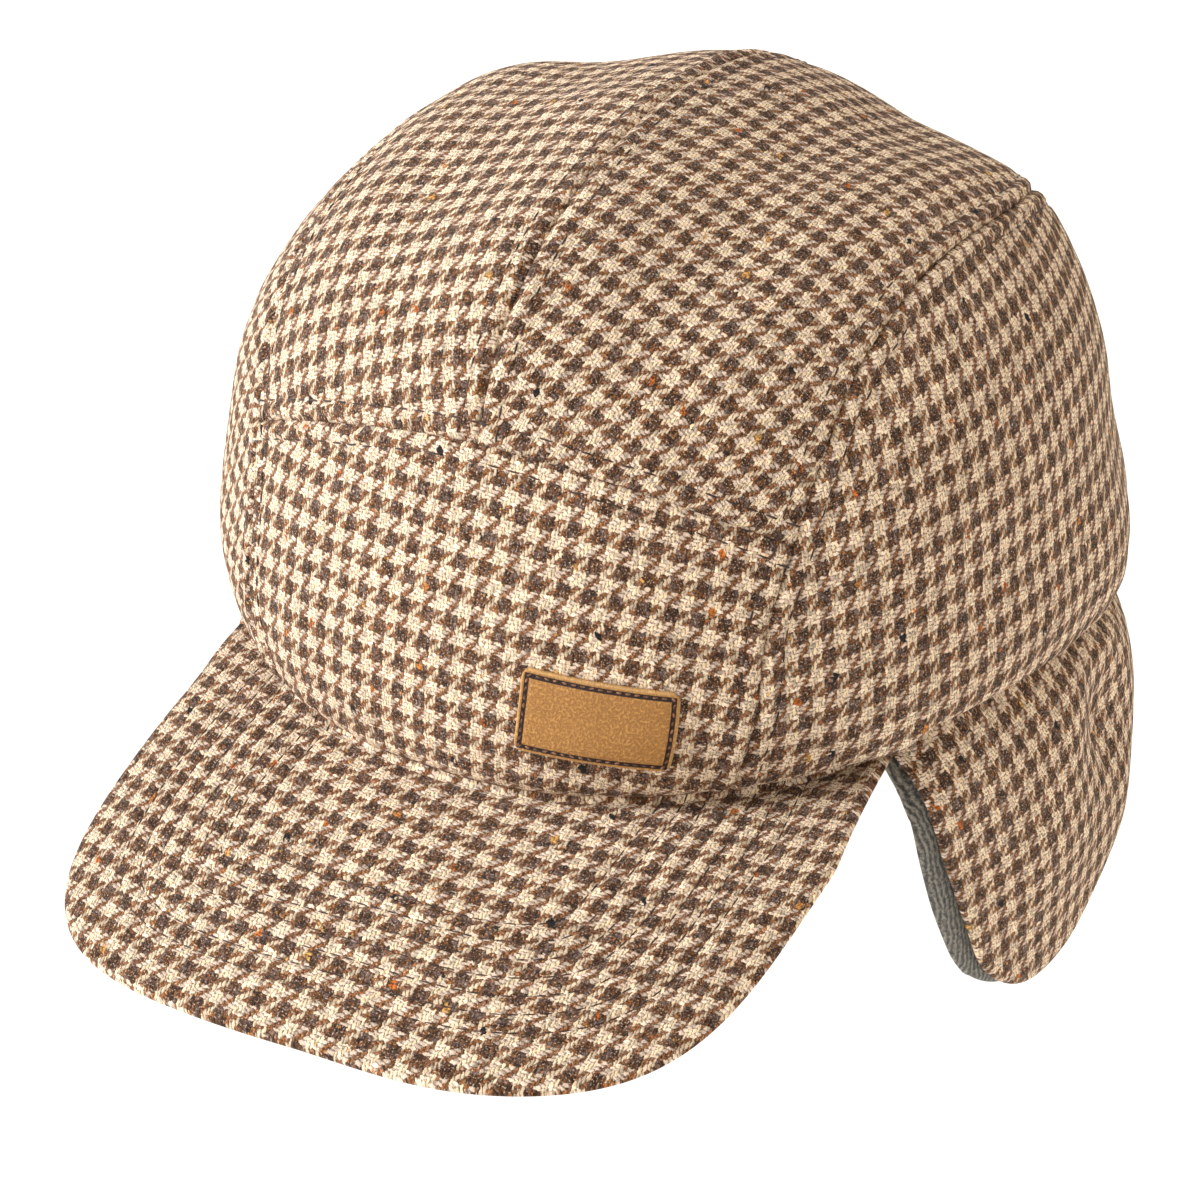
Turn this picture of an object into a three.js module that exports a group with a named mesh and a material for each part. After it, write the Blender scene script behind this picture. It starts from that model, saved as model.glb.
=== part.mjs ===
// Earflap cap: a tweed crown of five panels, a covered brim, a leather patch, and a band of ear flaps
// with a wool lining that hangs below the rim from one end of the brim round to the other.
//
// Units are millimetres and +Z is up. The brim points along -Y and the wearer's left is +X.
// The origin is the centre of the head opening, at the height of the crown's rim.

import * as THREE from 'three';

// ---------------------------------------------------------------------------------------------
// Driving dimensions
// ---------------------------------------------------------------------------------------------

const CLOTH = 2.0;          // a tweed wall: face cloth, fusing and seam allowance
const BRIM_THICK = 3.4;     // brim board with the cloth on both sides
const LINING_THICK = 5.5;   // the padded wool layer inside the ear flaps, at its thickest
const LINING_EDGE = 2.6;    // the same layer at its rounded edge
const PATCH_THICK = 1.5;    // leather
const LINING_GAP = 0.8;     // between the ear flaps' cloth and their lining
const GAP = 0.3;            // the space kept between neighbouring pieces

// Crown sections from the rolled rim up to the pole. Each is an oval: its height, its reach to the
// side, to the front and to the back, and how square it is (2 is an ellipse).
const LEVELS = [
  { height: -2.0, side: 84.0, front: 94.5, back: 89.0, square: 2.0 },
  { height: 4.0, side: 90.0, front: 97.6, back: 93.6, square: 2.0 },
  { height: 15.0, side: 91.8, front: 97.6, back: 93.0, square: 2.05 },
  { height: 31.0, side: 88.4, front: 95.4, back: 90.5, square: 2.1 },
  { height: 48.0, side: 85.0, front: 90.6, back: 86.0, square: 2.15 },
  { height: 64.5, side: 78.2, front: 85.4, back: 79.0, square: 2.2 },
  { height: 80.0, side: 66.3, front: 76.2, back: 66.0, square: 2.25 },
  { height: 92.8, side: 52.0, front: 58.0, back: 48.5, square: 2.3 },
  { height: 101.0, side: 32.5, front: 31.8, back: 28.0, square: 2.35 },
  { height: 103.9, side: 0.0, front: 0.0, back: 0.0, square: 2.4 },
];
const POLE = LEVELS.length - 1;
const RIM_DIP = { depth: 3.4, wide: 55, up_to: 1.5 };   // the rim is lower over the brim
// Behind the brim's ends the rim turns up, most at the front of the flaps. The rest are bearings
// at which that starts, is full, eases off to its height at the side, and fades to the back.
const RIM_RISE = {
  front: 9.0, side: 3.2, start: 57, full: 61.5, eases: 62, eased: 90, fades: 84, gone: 114,
};
const BACK_SLOPE = -0.05;   // the sections tip down towards the back, fully at the pole

// The top panels are held up by their seams and sink a little between them.
const CENTRE_RIDGE = { height: 1.2, width: 12 };
const TOP_HOLLOW = { depth: 4.0, from_centre: 33, width: 16 };

// Soft dents (deep > 0) and swellings (deep < 0) of the crown, by bearing in degrees from the
// front towards the wearer's left, and by level.
const CROWN_DENTS = [
  { bearing: 128, level: 7.3, deep: 2.0, wide: 13, tall: 9 },
  { bearing: 125, level: 5.7, deep: -1.8, wide: 18, tall: 9 },
  { bearing: 118, level: 0.7, deep: -2.6, wide: 30, tall: 15 },
  { bearing: 118, level: 3.6, deep: 0.8, wide: 24, tall: 12 },
  { bearing: 63, level: 2.3, deep: 1.0, wide: 22, tall: 12 },
  { bearing: -9, level: 6.1, deep: -0.9, wide: 9, tall: 30 },
  { bearing: -66, level: 1.5, deep: 1.0, wide: 16, tall: 10 },
  { bearing: -61, level: 4.8, deep: -1.0, wide: 16, tall: 18 },
  { bearing: -110, level: 7.4, deep: -1.6, wide: 18, tall: 12 },
];
const MM_PER_LEVEL = 15.0;
const HEAD_RADIUS = 90.0;   // turns a bearing into millimetres along the crown

// The seam between the side panel and the rest, from the front of the rim over to the back.
const SIDE_SEAM = [
  { bearing: 35.8, level: 0.0 },
  { bearing: 36.6, level: 1.5 },
  { bearing: 38.8, level: 3.0 },
  { bearing: 42.2, level: 3.95 },
  { bearing: 46.3, level: 4.73 },
  { bearing: 51.5, level: 5.32 },
  { bearing: 59.5, level: 5.82 },
  { bearing: 75.0, level: 6.27 },
  { bearing: 96.0, level: 6.31 },
  { bearing: 116.5, level: 6.05 },
  { bearing: 134.5, level: 5.52 },
  { bearing: 148.5, level: 4.55 },
  { bearing: 156.5, level: 3.2 },
  { bearing: 160.0, level: 1.6 },
  { bearing: 161.5, level: 0.0 },
];
const SEAM_AT_FRONT_PANEL = 3;   // rows where the front panel, the shoulder and the back corner are
const SEAM_AT_SHOULDER = 4;
const SEAM_AT_BACK_CORNER = 11;
const SEAM_END = SIDE_SEAM.length - 1;

// The level seam over the forehead: its level at the centre and how it drops with the bearing.
const FRONT_SEAM = { level: 4.88, drop: 0.000533 };

// Brim: its plan outline is a superellipse, and its board slopes, arches across and curls down.
const BRIM = {
  half_width: 72.5,
  reach: 71.9,            // from the widest line to the front edge
  widest_y: -83.0,
  lean: 0.02,             // to the wearer's right for each millimetre forwards of lean_from
  lean_from: -80,
  square_side: 2.77,
  square_front: 3.8,
  slope: 20.3,            // degrees
  arch: 0.0021,           // drop per square millimetre across
  curl: 0.0012,           // drop per square millimetre forwards
  level: -6.2,
  zero_y: -97.4,
  root_side: 82.8,        // the oval that the brim is sewn to, under the rolled rim
  root_front: 93.0,
  under_rim: 0.5,
  root_bearing: 57.0,
};

// Ear flap, outer face: how far it stands outside the crown's widest oval at each depth.
const FLAP_OVAL = { side: 90.5, front: 97.6, back: 93.6 };
const FLAP_DEPTHS = [
  { depth: 2.5, out: -7.5 },
  { depth: 8.0, out: -1.2 },
  { depth: 16.0, out: 2.8 },
  { depth: 30.0, out: 4.2 },
  { depth: 46.0, out: 3.6 },
  { depth: 62.0, out: 2.6 },
  { depth: 78.0, out: 1.4 },
];
// Its outline, from the top of the front edge down, round the tip and back to the centre back.
const FLAP_EDGE = [
  { bearing: 57.8, depth: 2.5 },
  { bearing: 59.5, depth: 17.0 },
  { bearing: 62.6, depth: 31.0 },
  { bearing: 65.8, depth: 44.0 },
  { bearing: 69.8, depth: 57.5 },
  { bearing: 77.0, depth: 65.8 },
  { bearing: 86.0, depth: 65.0 },
  { bearing: 96.0, depth: 57.5 },
  { bearing: 107.0, depth: 48.5 },
  { bearing: 122.0, depth: 42.5 },
  { bearing: 140.0, depth: 40.0 },
  { bearing: 160.0, depth: 39.0 },
  { bearing: 180.0, depth: 38.5 },
];
const FLAP_FOLLOWS_RIM = 25.0;   // the flap's cloth follows the rim's dip down to this depth
const FLAP_FOOT = 4;             // the outline's row where its front edge becomes its lower edge
const LINING_TOP = 2.2;          // depth of the lining's upper edge
const LINING_SHOWS = { forward: 2.6, row: 2.8, rows: 2.4 };   // degrees past the cloth's front edge
const FLAP_DENTS = [
  { bearing: 97, depth: 21, deep: 5.0, wide: 11, tall: 10 },
  { bearing: 101, depth: 6, deep: -1.6, wide: 14, tall: 7 },
  { bearing: 102, depth: 42, deep: -1.8, wide: 14, tall: 12 },
  { bearing: 82, depth: 34, deep: -1.6, wide: 12, tall: 16 },
];

// Leather patch, low on the front panel towards the wearer's left, set along the cloth's grain.
const PATCH = { bearing: 18.3, height: 14.6, width: 32.4, tall: 17.2, turn: -5.5 };

// Cells across and along each wall
const CELLS = {
  front: [16, 8],
  top: [22, 8],
  side: [24, 10],
  brim: [24, 9],
  flap: [48, 9],
  lining: [48, 9],
  patch: [8, 5],
};

// ---------------------------------------------------------------------------------------------
// Smooth tables
// ---------------------------------------------------------------------------------------------

function smooth(a, b, c, d, f) {
  const bend = 2 * a - 5 * b + 4 * c - d;
  const twist = 3 * b - a - 3 * c + d;
  return 0.5 * (2 * b + (c - a) * f + bend * f * f + twist * f * f * f);
}

// The table's columns at a place between its rows. Past an end the table runs straight on, or,
// where mirrored_end lists columns, turns back there: those columns change sign.
function between(table, place, mirrored_end = null) {
  const last = table.length - 1;
  const at = THREE.MathUtils.clamp(place, 0, last);
  const i = Math.min(Math.floor(at), last - 1);
  const f = at - i;
  const out = {};
  for (const key of Object.keys(table[0])) {
    const b = table[i][key];
    const c = table[i + 1][key];
    const a = i > 0 ? table[i - 1][key] : 2 * b - c;
    let d = 2 * c - b;
    if (i + 2 <= last) {
      d = table[i + 2][key];
    } else if (mirrored_end) {
      d = mirrored_end.includes(key) ? -b : b;
    }
    out[key] = smooth(a, b, c, d, f);
  }
  return out;
}

function bump(across, wide, along = 0, tall = 1) {
  return Math.exp(-((across / wide) ** 2) - (along / tall) ** 2);
}

function onOval(side, front, back, square, bearing) {
  const s = Math.sin(bearing);
  const c = Math.cos(bearing);
  const reach = (Math.abs(s) ** square + Math.abs(c) ** square) ** (-1 / square);
  return { x: side * s * reach, y: -(c > 0 ? front : back) * c * reach };
}

// ---------------------------------------------------------------------------------------------
// Crown
// ---------------------------------------------------------------------------------------------

const CROWN_HEART = new THREE.Vector3(0, 0, 20);   // swellings push away from here

// How far the rim is below its height at the sides; wide is in degrees either side of the front.
function rimDip(degrees) {
  const { smoothstep } = THREE.MathUtils;
  const aside = Math.abs(degrees);
  const eased = smoothstep(aside, RIM_RISE.eases, RIM_RISE.eased);
  const start = smoothstep(aside, RIM_RISE.start, RIM_RISE.full);
  const left = 1 - smoothstep(aside, RIM_RISE.fades, RIM_RISE.gone);
  const rise = start * (mix(RIM_RISE.front, RIM_RISE.side, eased) - RIM_RISE.side * (1 - left));
  return RIM_DIP.depth * bump(degrees, RIM_DIP.wide) - rise;
}

function crownPoint(bearing, level) {
  const row = between(LEVELS, level, ['side', 'front', 'back']);
  const { x, y } = onOval(row.side, row.front, row.back, row.square, bearing);
  const climb = level / POLE;
  const degrees = THREE.MathUtils.radToDeg(bearing);
  const low = Math.max(0, 1 - level / RIM_DIP.up_to);
  const point = new THREE.Vector3(x, y, row.height + BACK_SLOPE * y * climb * climb);
  point.z -= rimDip(degrees) * low * low;

  const upper = THREE.MathUtils.smoothstep(climb, 0.25, 0.65);
  const top = THREE.MathUtils.clamp((climb - 0.5) / 0.3, 0, 1);
  let rise = CENTRE_RIDGE.height * bump(x, CENTRE_RIDGE.width) * upper;
  rise -= TOP_HOLLOW.depth * bump(Math.abs(x) - TOP_HOLLOW.from_centre, TOP_HOLLOW.width) * upper * top;
  for (const dent of CROWN_DENTS) {
    const across = THREE.MathUtils.degToRad(degrees - dent.bearing) * Math.hypot(x, y);
    const along = (level - dent.level) * MM_PER_LEVEL;
    rise -= dent.deep * bump(across, dent.wide, along, dent.tall);
  }
  const outwards = point.clone().sub(CROWN_HEART).normalize();
  return point.addScaledVector(outwards, rise);
}

// The crown spread on a disc: the pole is its centre and the rim its edge, so that panels that
// cross the pole have no special place there.
function onDisc({ bearing, level }) {
  const b = THREE.MathUtils.degToRad(bearing);
  return new THREE.Vector2((POLE - level) * Math.sin(b), -(POLE - level) * Math.cos(b));
}

function crownAtDisc(spot) {
  return crownPoint(Math.atan2(spot.x, -spot.y), POLE - spot.length());
}

const seamOnDisc = SIDE_SEAM.map((row) => {
  const spot = onDisc(row);
  return { x: spot.x, y: spot.y };
});

function sideSeam(place) {
  const { x, y } = between(seamOnDisc, place);
  return new THREE.Vector2(x, y);
}

function frontSeam(bearing) {
  return onDisc({ bearing, level: FRONT_SEAM.level - FRONT_SEAM.drop * bearing * bearing });
}

const mirrored = (spot) => new THREE.Vector2(-spot.x, spot.y);
const mix = THREE.MathUtils.lerp;

// A four-sided patch between two pairs of facing edges: low and high run along u, left and right
// run along v.
function patchOf(low, high, left, right) {
  return (u, v) => {
    const spot = low(u).multiplyScalar(1 - v).addScaledVector(high(u), v);
    spot.addScaledVector(left(v), 1 - u).addScaledVector(right(v), u);
    spot.addScaledVector(low(0), -(1 - u) * (1 - v)).addScaledVector(low(1), -u * (1 - v));
    spot.addScaledVector(high(0), -(1 - u) * v).addScaledVector(high(1), -u * v);
    return spot;
  };
}

// ---------------------------------------------------------------------------------------------
// Walls: a face, given by a function of u and v from 0 to 1, with a thickness behind it
// ---------------------------------------------------------------------------------------------

function wall(face, [across, along], thickness, flip = false) {
  const step = 1e-3;
  const outer = [];
  const inner = [];
  for (let j = 0; j <= along; j += 1) {
    for (let i = 0; i <= across; i += 1) {
      const u = i / across;
      const v = j / along;
      const du = face(Math.min(u + step, 1), v).sub(face(Math.max(u - step, 0), v));
      const dv = face(u, Math.min(v + step, 1)).sub(face(u, Math.max(v - step, 0)));
      const inwards = dv.cross(du).normalize().multiplyScalar(flip ? -1 : 1);
      const spot = face(u, v);
      outer.push(spot);
      inner.push(spot.clone().addScaledVector(inwards, thickness(u, v)));
    }
  }
  const count = outer.length;
  const at = (i, j) => j * (across + 1) + i;
  const quads = [];
  for (let j = 0; j < along; j += 1) {
    for (let i = 0; i < across; i += 1) {
      const ring = [at(i, j), at(i + 1, j), at(i + 1, j + 1), at(i, j + 1)];
      quads.push(ring, ring.map((k) => k + count).reverse());
    }
  }
  const rim = [];
  for (let i = 0; i < across; i += 1) rim.push([at(i, 0), at(i + 1, 0)]);
  for (let j = 0; j < along; j += 1) rim.push([at(across, j), at(across, j + 1)]);
  for (let i = across; i > 0; i -= 1) rim.push([at(i, along), at(i - 1, along)]);
  for (let j = along; j > 0; j -= 1) rim.push([at(0, j), at(0, j - 1)]);
  for (const [a, b] of rim) quads.push([b, a, a + count, b + count]);

  const index = [];
  for (const [a, b, c, d] of quads) {
    if (flip) index.push(a, c, b, a, d, c);
    else index.push(a, b, c, a, c, d);
  }
  const geometry = new THREE.BufferGeometry().setFromPoints([...outer, ...inner]);
  geometry.setIndex(index);
  geometry.computeVertexNormals();
  return geometry;
}

// Leaves half a gap along all four edges of a patch whose sides are about this long.
function inset(patch, length_u, length_v) {
  const du = GAP / length_u;
  const dv = GAP / length_v;
  return (u, v) => patch(mix(du, 1 - du, u), mix(dv, 1 - dv, v));
}

const cloth = () => CLOTH;

// ---------------------------------------------------------------------------------------------
// Crown panels
// ---------------------------------------------------------------------------------------------

const FRONT_CORNER = SIDE_SEAM[SEAM_AT_FRONT_PANEL].bearing;
const RIM_FRONT = SIDE_SEAM[0].bearing;
const RIM_BACK = SIDE_SEAM[SEAM_END].bearing;

function frontPanel() {
  const patch = patchOf(
    (u) => onDisc({ bearing: mix(-RIM_FRONT, RIM_FRONT, u), level: 0 }),
    (u) => frontSeam(mix(-FRONT_CORNER, FRONT_CORNER, u)),
    (v) => mirrored(sideSeam(v * SEAM_AT_FRONT_PANEL)),
    (v) => sideSeam(v * SEAM_AT_FRONT_PANEL),
  );
  const face = inset((u, v) => crownAtDisc(patch(u, v)), 118, 68);
  return wall(face, CELLS.front, cloth);
}

// Half of the top, from the centre seam (u = 0) to the side seam (u = 1), front to back.
function topPanel(side) {
  const seam_rows = SEAM_END - SEAM_AT_FRONT_PANEL;
  const patch = patchOf(
    (u) => frontSeam(mix(0, FRONT_CORNER, u)),
    (u) => onDisc({ bearing: mix(180, RIM_BACK, u), level: 0 }),
    (v) => new THREE.Vector2(0, mix(FRONT_SEAM.level - POLE, POLE, v)),
    (v) => sideSeam(SEAM_AT_FRONT_PANEL + v * seam_rows),
  );
  const spot = side > 0 ? patch : (u, v) => mirrored(patch(u, v));
  const face = inset((u, v) => crownAtDisc(spot(u, v)), 55, 260);
  return wall(face, [CELLS.top[1], CELLS.top[0]], cloth, side < 0);
}

// A side panel, from the front end of its seam (u = 0) round to the back end (u = 1).
function sidePanel(side) {
  const top_rows = SEAM_AT_BACK_CORNER - SEAM_AT_SHOULDER;
  const back_rows = SEAM_END - SEAM_AT_BACK_CORNER;
  const patch = patchOf(
    (u) => onDisc({ bearing: mix(RIM_FRONT, RIM_BACK, u), level: 0 }),
    (u) => sideSeam(SEAM_AT_SHOULDER + u * top_rows),
    (v) => sideSeam(v * SEAM_AT_SHOULDER),
    (v) => sideSeam(SEAM_END - v * back_rows),
  );
  const spot = side > 0 ? patch : (u, v) => mirrored(patch(u, v));
  const face = inset((u, v) => crownAtDisc(spot(u, v)), 180, 90);
  return wall(face, CELLS.side, cloth, side < 0);
}

// ---------------------------------------------------------------------------------------------
// Brim
// ---------------------------------------------------------------------------------------------

function brimHeight(x, y) {
  const forward = BRIM.zero_y - y;
  const slope = Math.tan(THREE.MathUtils.degToRad(BRIM.slope));
  return BRIM.level - slope * forward - BRIM.arch * x * x - BRIM.curl * forward * forward;
}

function brimPoint(u, v) {
  const turn = mix(-1, 1, u);
  const bearing = THREE.MathUtils.degToRad(turn * BRIM.root_bearing);
  const root = { x: BRIM.root_side * Math.sin(bearing), y: -BRIM.root_front * Math.cos(bearing) };
  const s = Math.sin(turn * Math.PI / 2);
  const c = Math.abs(Math.cos(turn * Math.PI / 2));
  const edge = {
    x: BRIM.half_width * Math.sign(s) * Math.abs(s) ** (2 / BRIM.square_side),
    y: BRIM.widest_y - BRIM.reach * c ** (2 / BRIM.square_front),
  };
  const x = mix(root.x, edge.x, v);
  const y = mix(root.y, edge.y, v);
  const lean = BRIM.lean * Math.max(0, BRIM.lean_from - y);
  const root_z = LEVELS[0].height - rimDip(turn * BRIM.root_bearing) - BRIM.under_rim;
  const lift = (root_z - brimHeight(root.x, root.y)) * (1 - v) * (1 - v);
  return new THREE.Vector3(x - lean * v, y, brimHeight(x, y) + lift);
}

function brim() {
  const thick = (u, v) => mix(0.6 * BRIM_THICK, BRIM_THICK, Math.min(1, 6 * v));
  return wall((u, v) => brimPoint(u, 1 - v), CELLS.brim, thick);
}

// ---------------------------------------------------------------------------------------------
// Ear flaps
// ---------------------------------------------------------------------------------------------

// Finds the depth table's row for a depth, so that its columns can be read there.
function flapRow(depth) {
  const last = FLAP_DEPTHS.length - 1;
  let i = 0;
  while (i < last - 1 && FLAP_DEPTHS[i + 1].depth < depth) i += 1;
  const span = FLAP_DEPTHS[i + 1].depth - FLAP_DEPTHS[i].depth;
  return i + (depth - FLAP_DEPTHS[i].depth) / span;
}

function flapPoint(bearing_degrees, depth) {
  const bearing = THREE.MathUtils.degToRad(bearing_degrees);
  let { out } = between(FLAP_DEPTHS, flapRow(depth));
  for (const dent of FLAP_DENTS) {
    const across = THREE.MathUtils.degToRad(bearing_degrees - dent.bearing) * HEAD_RADIUS;
    out -= dent.deep * bump(across, dent.wide, depth - dent.depth, dent.tall);
  }
  const { side, front, back } = FLAP_OVAL;
  const { x, y } = onOval(side + out, front + out, back + out, 2, bearing);
  const near_rim = Math.max(0, 1 - depth / FLAP_FOLLOWS_RIM);
  return new THREE.Vector3(x, y, -depth - rimDip(bearing_degrees) * near_rim);
}

// The place this far behind the outer face
function behindFlap(bearing_degrees, depth, behind) {
  const step = 0.05;
  const point = flapPoint(bearing_degrees, depth);
  const round = flapPoint(bearing_degrees + step, depth).sub(point);
  const down = flapPoint(bearing_degrees, depth + step).sub(point);
  return point.addScaledVector(round.cross(down).normalize(), behind);
}

// The left half of the band spread flat: x is the bearing and y the depth. forward carries the
// front edge on, for the layer behind.
function flapPatch(top_depth, forward) {
  const end = FLAP_EDGE.length - 1;
  const outline = (place) => {
    const row = between(FLAP_EDGE, place);
    const carried = forward * bump(place - LINING_SHOWS.row, LINING_SHOWS.rows);
    return new THREE.Vector2(row.bearing - carried, Math.max(row.depth, top_depth));
  };
  const top_front = outline(0);
  const back = FLAP_EDGE[end];
  return patchOf(
    (u) => outline(mix(FLAP_FOOT, end, u)),
    (u) => new THREE.Vector2(mix(top_front.x, back.bearing, 0.35 * u + 0.65 * u * u), top_depth),
    (v) => outline(mix(FLAP_FOOT, 0, v)),
    (v) => new THREE.Vector2(back.bearing, mix(back.depth, top_depth, v)),
  );
}

// One band from the left front edge (u = 0) round the back to the right front edge (u = 1).
function band(patch, behind, cells, thickness) {
  const half = (u) => Math.min(2 * u, 2 - 2 * u);
  const face = (u, v) => {
    const spot = patch(half(u), v);
    const point = behindFlap(spot.x, spot.y, behind);
    if (u > 0.5) point.x *= -1;
    return point;
  };
  return wall(face, cells, (u, v) => thickness(half(u), v));
}

function earflap() {
  return band(flapPatch(FLAP_EDGE[0].depth, 0), 0, CELLS.flap, cloth);
}

function earflapLining() {
  const puff = (u, v) => {
    const from_edge = Math.min(1, 4 * v, 12 * u, 6 * (1 - v));
    return mix(LINING_EDGE, LINING_THICK, Math.sqrt(from_edge));
  };
  const patch = flapPatch(LINING_TOP, LINING_SHOWS.forward);
  return band(patch, CLOTH + LINING_GAP, CELLS.lining, puff);
}

// ---------------------------------------------------------------------------------------------
// Leather patch
// ---------------------------------------------------------------------------------------------

function levelAtHeight(height) {
  let i = 0;
  while (LEVELS[i + 1].height < height) i += 1;
  return i + (height - LEVELS[i].height) / (LEVELS[i + 1].height - LEVELS[i].height);
}

function leatherPatch() {
  const turn = THREE.MathUtils.degToRad(PATCH.turn);
  const reach = LEVELS[2].front;
  const face = (u, v) => {
    const right = (u - 0.5) * PATCH.width;
    const up = (v - 0.5) * PATCH.tall;
    const along = right * Math.cos(turn) - up * Math.sin(turn);
    const height = PATCH.height + right * Math.sin(turn) + up * Math.cos(turn);
    const bearing = THREE.MathUtils.degToRad(PATCH.bearing) + along / reach;
    const point = crownPoint(bearing, levelAtHeight(height));
    const outwards = new THREE.Vector3(Math.sin(bearing), -Math.cos(bearing), 0);
    return point.addScaledVector(outwards, GAP + PATCH_THICK);
  };
  return wall(face, CELLS.patch, () => PATCH_THICK);
}

// ---------------------------------------------------------------------------------------------
// The cap
// ---------------------------------------------------------------------------------------------

const tweed = () => new THREE.MeshStandardMaterial({ color: 0xb4967c, roughness: 0.95, metalness: 0 });
const wool = () => new THREE.MeshStandardMaterial({ color: 0x86857c, roughness: 0.98, metalness: 0 });
const leather = () => new THREE.MeshStandardMaterial({ color: 0xc8965a, roughness: 0.6, metalness: 0 });

const group = new THREE.Group();

function add(name, geometry, material) {
  const mesh = new THREE.Mesh(geometry, material);
  mesh.name = name;
  group.add(mesh);
}

add('front_panel', frontPanel(), tweed());
for (const [name, side] of [['left', 1], ['right', -1]]) {
  add(`crown_${name}`, topPanel(side), tweed());
  add(`side_${name}`, sidePanel(side), tweed());
}
add('brim', brim(), tweed());
add('earflap', earflap(), tweed());
add('earflap_lining', earflapLining(), wool());
add('leather_patch', leatherPatch(), leather());

export default group;
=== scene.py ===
# %% [markdown]
# # A tweed earflap cap
# This lesson dresses the packed model of a five-panel tweed cap. The real cap is sewn from flat
# pieces of houndstooth cloth, so each piece is made here from the same few numbers as its solid,
# only finer, and then gets its seams, folds, stitches and weave.

# %% Load the packed cap
import math
import bmesh
import bpy
import numpy as np
from mathutils import Matrix, Vector
from mathutils.bvhtree import BVHTree


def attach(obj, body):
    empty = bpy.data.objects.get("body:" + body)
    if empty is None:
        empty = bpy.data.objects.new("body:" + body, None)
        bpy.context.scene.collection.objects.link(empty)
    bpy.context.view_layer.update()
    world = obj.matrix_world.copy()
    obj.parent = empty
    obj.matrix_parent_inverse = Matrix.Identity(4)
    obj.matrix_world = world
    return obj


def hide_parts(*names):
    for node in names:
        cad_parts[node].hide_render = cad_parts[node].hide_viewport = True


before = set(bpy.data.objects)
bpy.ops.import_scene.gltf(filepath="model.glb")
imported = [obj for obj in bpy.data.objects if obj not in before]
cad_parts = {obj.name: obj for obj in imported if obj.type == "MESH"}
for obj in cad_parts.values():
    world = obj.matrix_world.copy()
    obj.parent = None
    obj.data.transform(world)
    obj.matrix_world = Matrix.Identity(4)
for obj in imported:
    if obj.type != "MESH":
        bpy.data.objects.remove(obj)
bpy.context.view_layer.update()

print("CAD nodes:", sorted(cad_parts))

# %% [markdown]
# ## The crown's shape
# A cap's crown is a stack of ovals that close at the top. Each row of the table is one oval, in
# millimetres: its height, its reach to the side, front and back, and how square it is. A smooth
# curve through the rows gives any oval between them.

# %% Crown sections
#            height  side  front  back square
LEVELS = np.array([
    [-2.0, 84.0, 94.5, 89.0, 2.0],
    [4.0, 90.0, 97.6, 93.6, 2.0],
    [15.0, 91.8, 97.6, 93.0, 2.05],
    [31.0, 88.4, 95.4, 90.5, 2.1],
    [48.0, 85.0, 90.6, 86.0, 2.15],
    [64.5, 78.2, 85.4, 79.0, 2.2],
    [80.0, 66.3, 76.2, 66.0, 2.25],
    [92.8, 52.0, 58.0, 48.5, 2.3],
    [101.0, 32.5, 31.8, 28.0, 2.35],
    [103.9, 0.0, 0.0, 0.0, 2.4],
])
POLE = len(LEVELS) - 1
MM = 0.001
print("rim to top:", LEVELS[0, 0], "to", LEVELS[-1, 0], "mm")


# %% Soft hills, steps and curves
def bump(across, wide, along=0.0, tall=1.0):
    """A soft hill, 1 at its middle."""
    return np.exp(-((across / wide) ** 2) - (along / tall) ** 2)


def step_between(x, low, high):
    t = np.clip((x - low) / (high - low), 0, 1)
    return t * t * (3 - 2 * t)


def unit(ways):
    return ways / np.linalg.norm(ways, axis=-1, keepdims=True)


def between(table, place, mirror=None):
    """The rows of a table at places between them, on a smooth curve."""
    table = np.asarray(table, float)
    last = len(table) - 1
    place = np.clip(np.asarray(place, float), 0, last)
    after = 2 * table[last] - table[last - 1]
    if mirror is not None:
        after = table[last - 1] * mirror
    rows = np.vstack([2 * table[0] - table[1], table, after])
    i = np.minimum(place.astype(int), last - 1)
    f = (place - i)[..., None]
    a, b, c, d = (rows[i + k] for k in range(4))
    bend, twist = 2 * a - 5 * b + 4 * c - d, 3 * b - a - 3 * c + d
    return 0.5 * (2 * b + (c - a) * f + bend * f ** 2 + twist * f ** 3)


print("halfway up a soft step:", step_between(0.5, 0, 1))

# %% [markdown]
# ## The worn shape
# A worn cap isn't a clean dome: its top has a low ridge between two flats, it leans a little, and
# the cloth is dented. The rim dips over the brim and turns up behind the brim's ends to clear the
# temples. On this cap it turns up sooner on the wearer's left than on the right, where it hangs.

# %% Rim, dents and the crown's outer face
RIM_DIP, RIM_DIP_WIDE = 3.4, 55
RISE_FRONT, RISE_SIDE = 9.0, 3.2
RISE_EASES, RISE_FADES = (62, 90), (84, 114)              # bearings in degrees
RISE_LEFT, RISE_RIGHT = (58.5, 62.5), (66, 72)
RIGHT_HANG = dict(deep=2.2, bearing=-65, wide=9)
CROWN_LEAN = 0.05
TOP_RIDGE = dict(high=1.2, wide=12)
TOP_FLATS = dict(deep=4.0, aside=33, wide=16)
CENTRE_HEIGHT = 20
#              bearing level deep wide tall
CROWN_DENTS = [
    (128, 7.3, 2.0, 13, 9),
    (125, 5.7, -1.8, 18, 9),
    (118, 0.7, -2.6, 30, 15),
    (118, 3.6, 0.8, 24, 12),
    (63, 2.3, 1.0, 22, 12),
    (-9, 6.1, -0.9, 9, 30),
    (-66, 1.5, 1.0, 16, 10),
    (-61, 4.8, -1.0, 16, 18),
    (-110, 7.4, -1.6, 18, 12),
]


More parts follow.
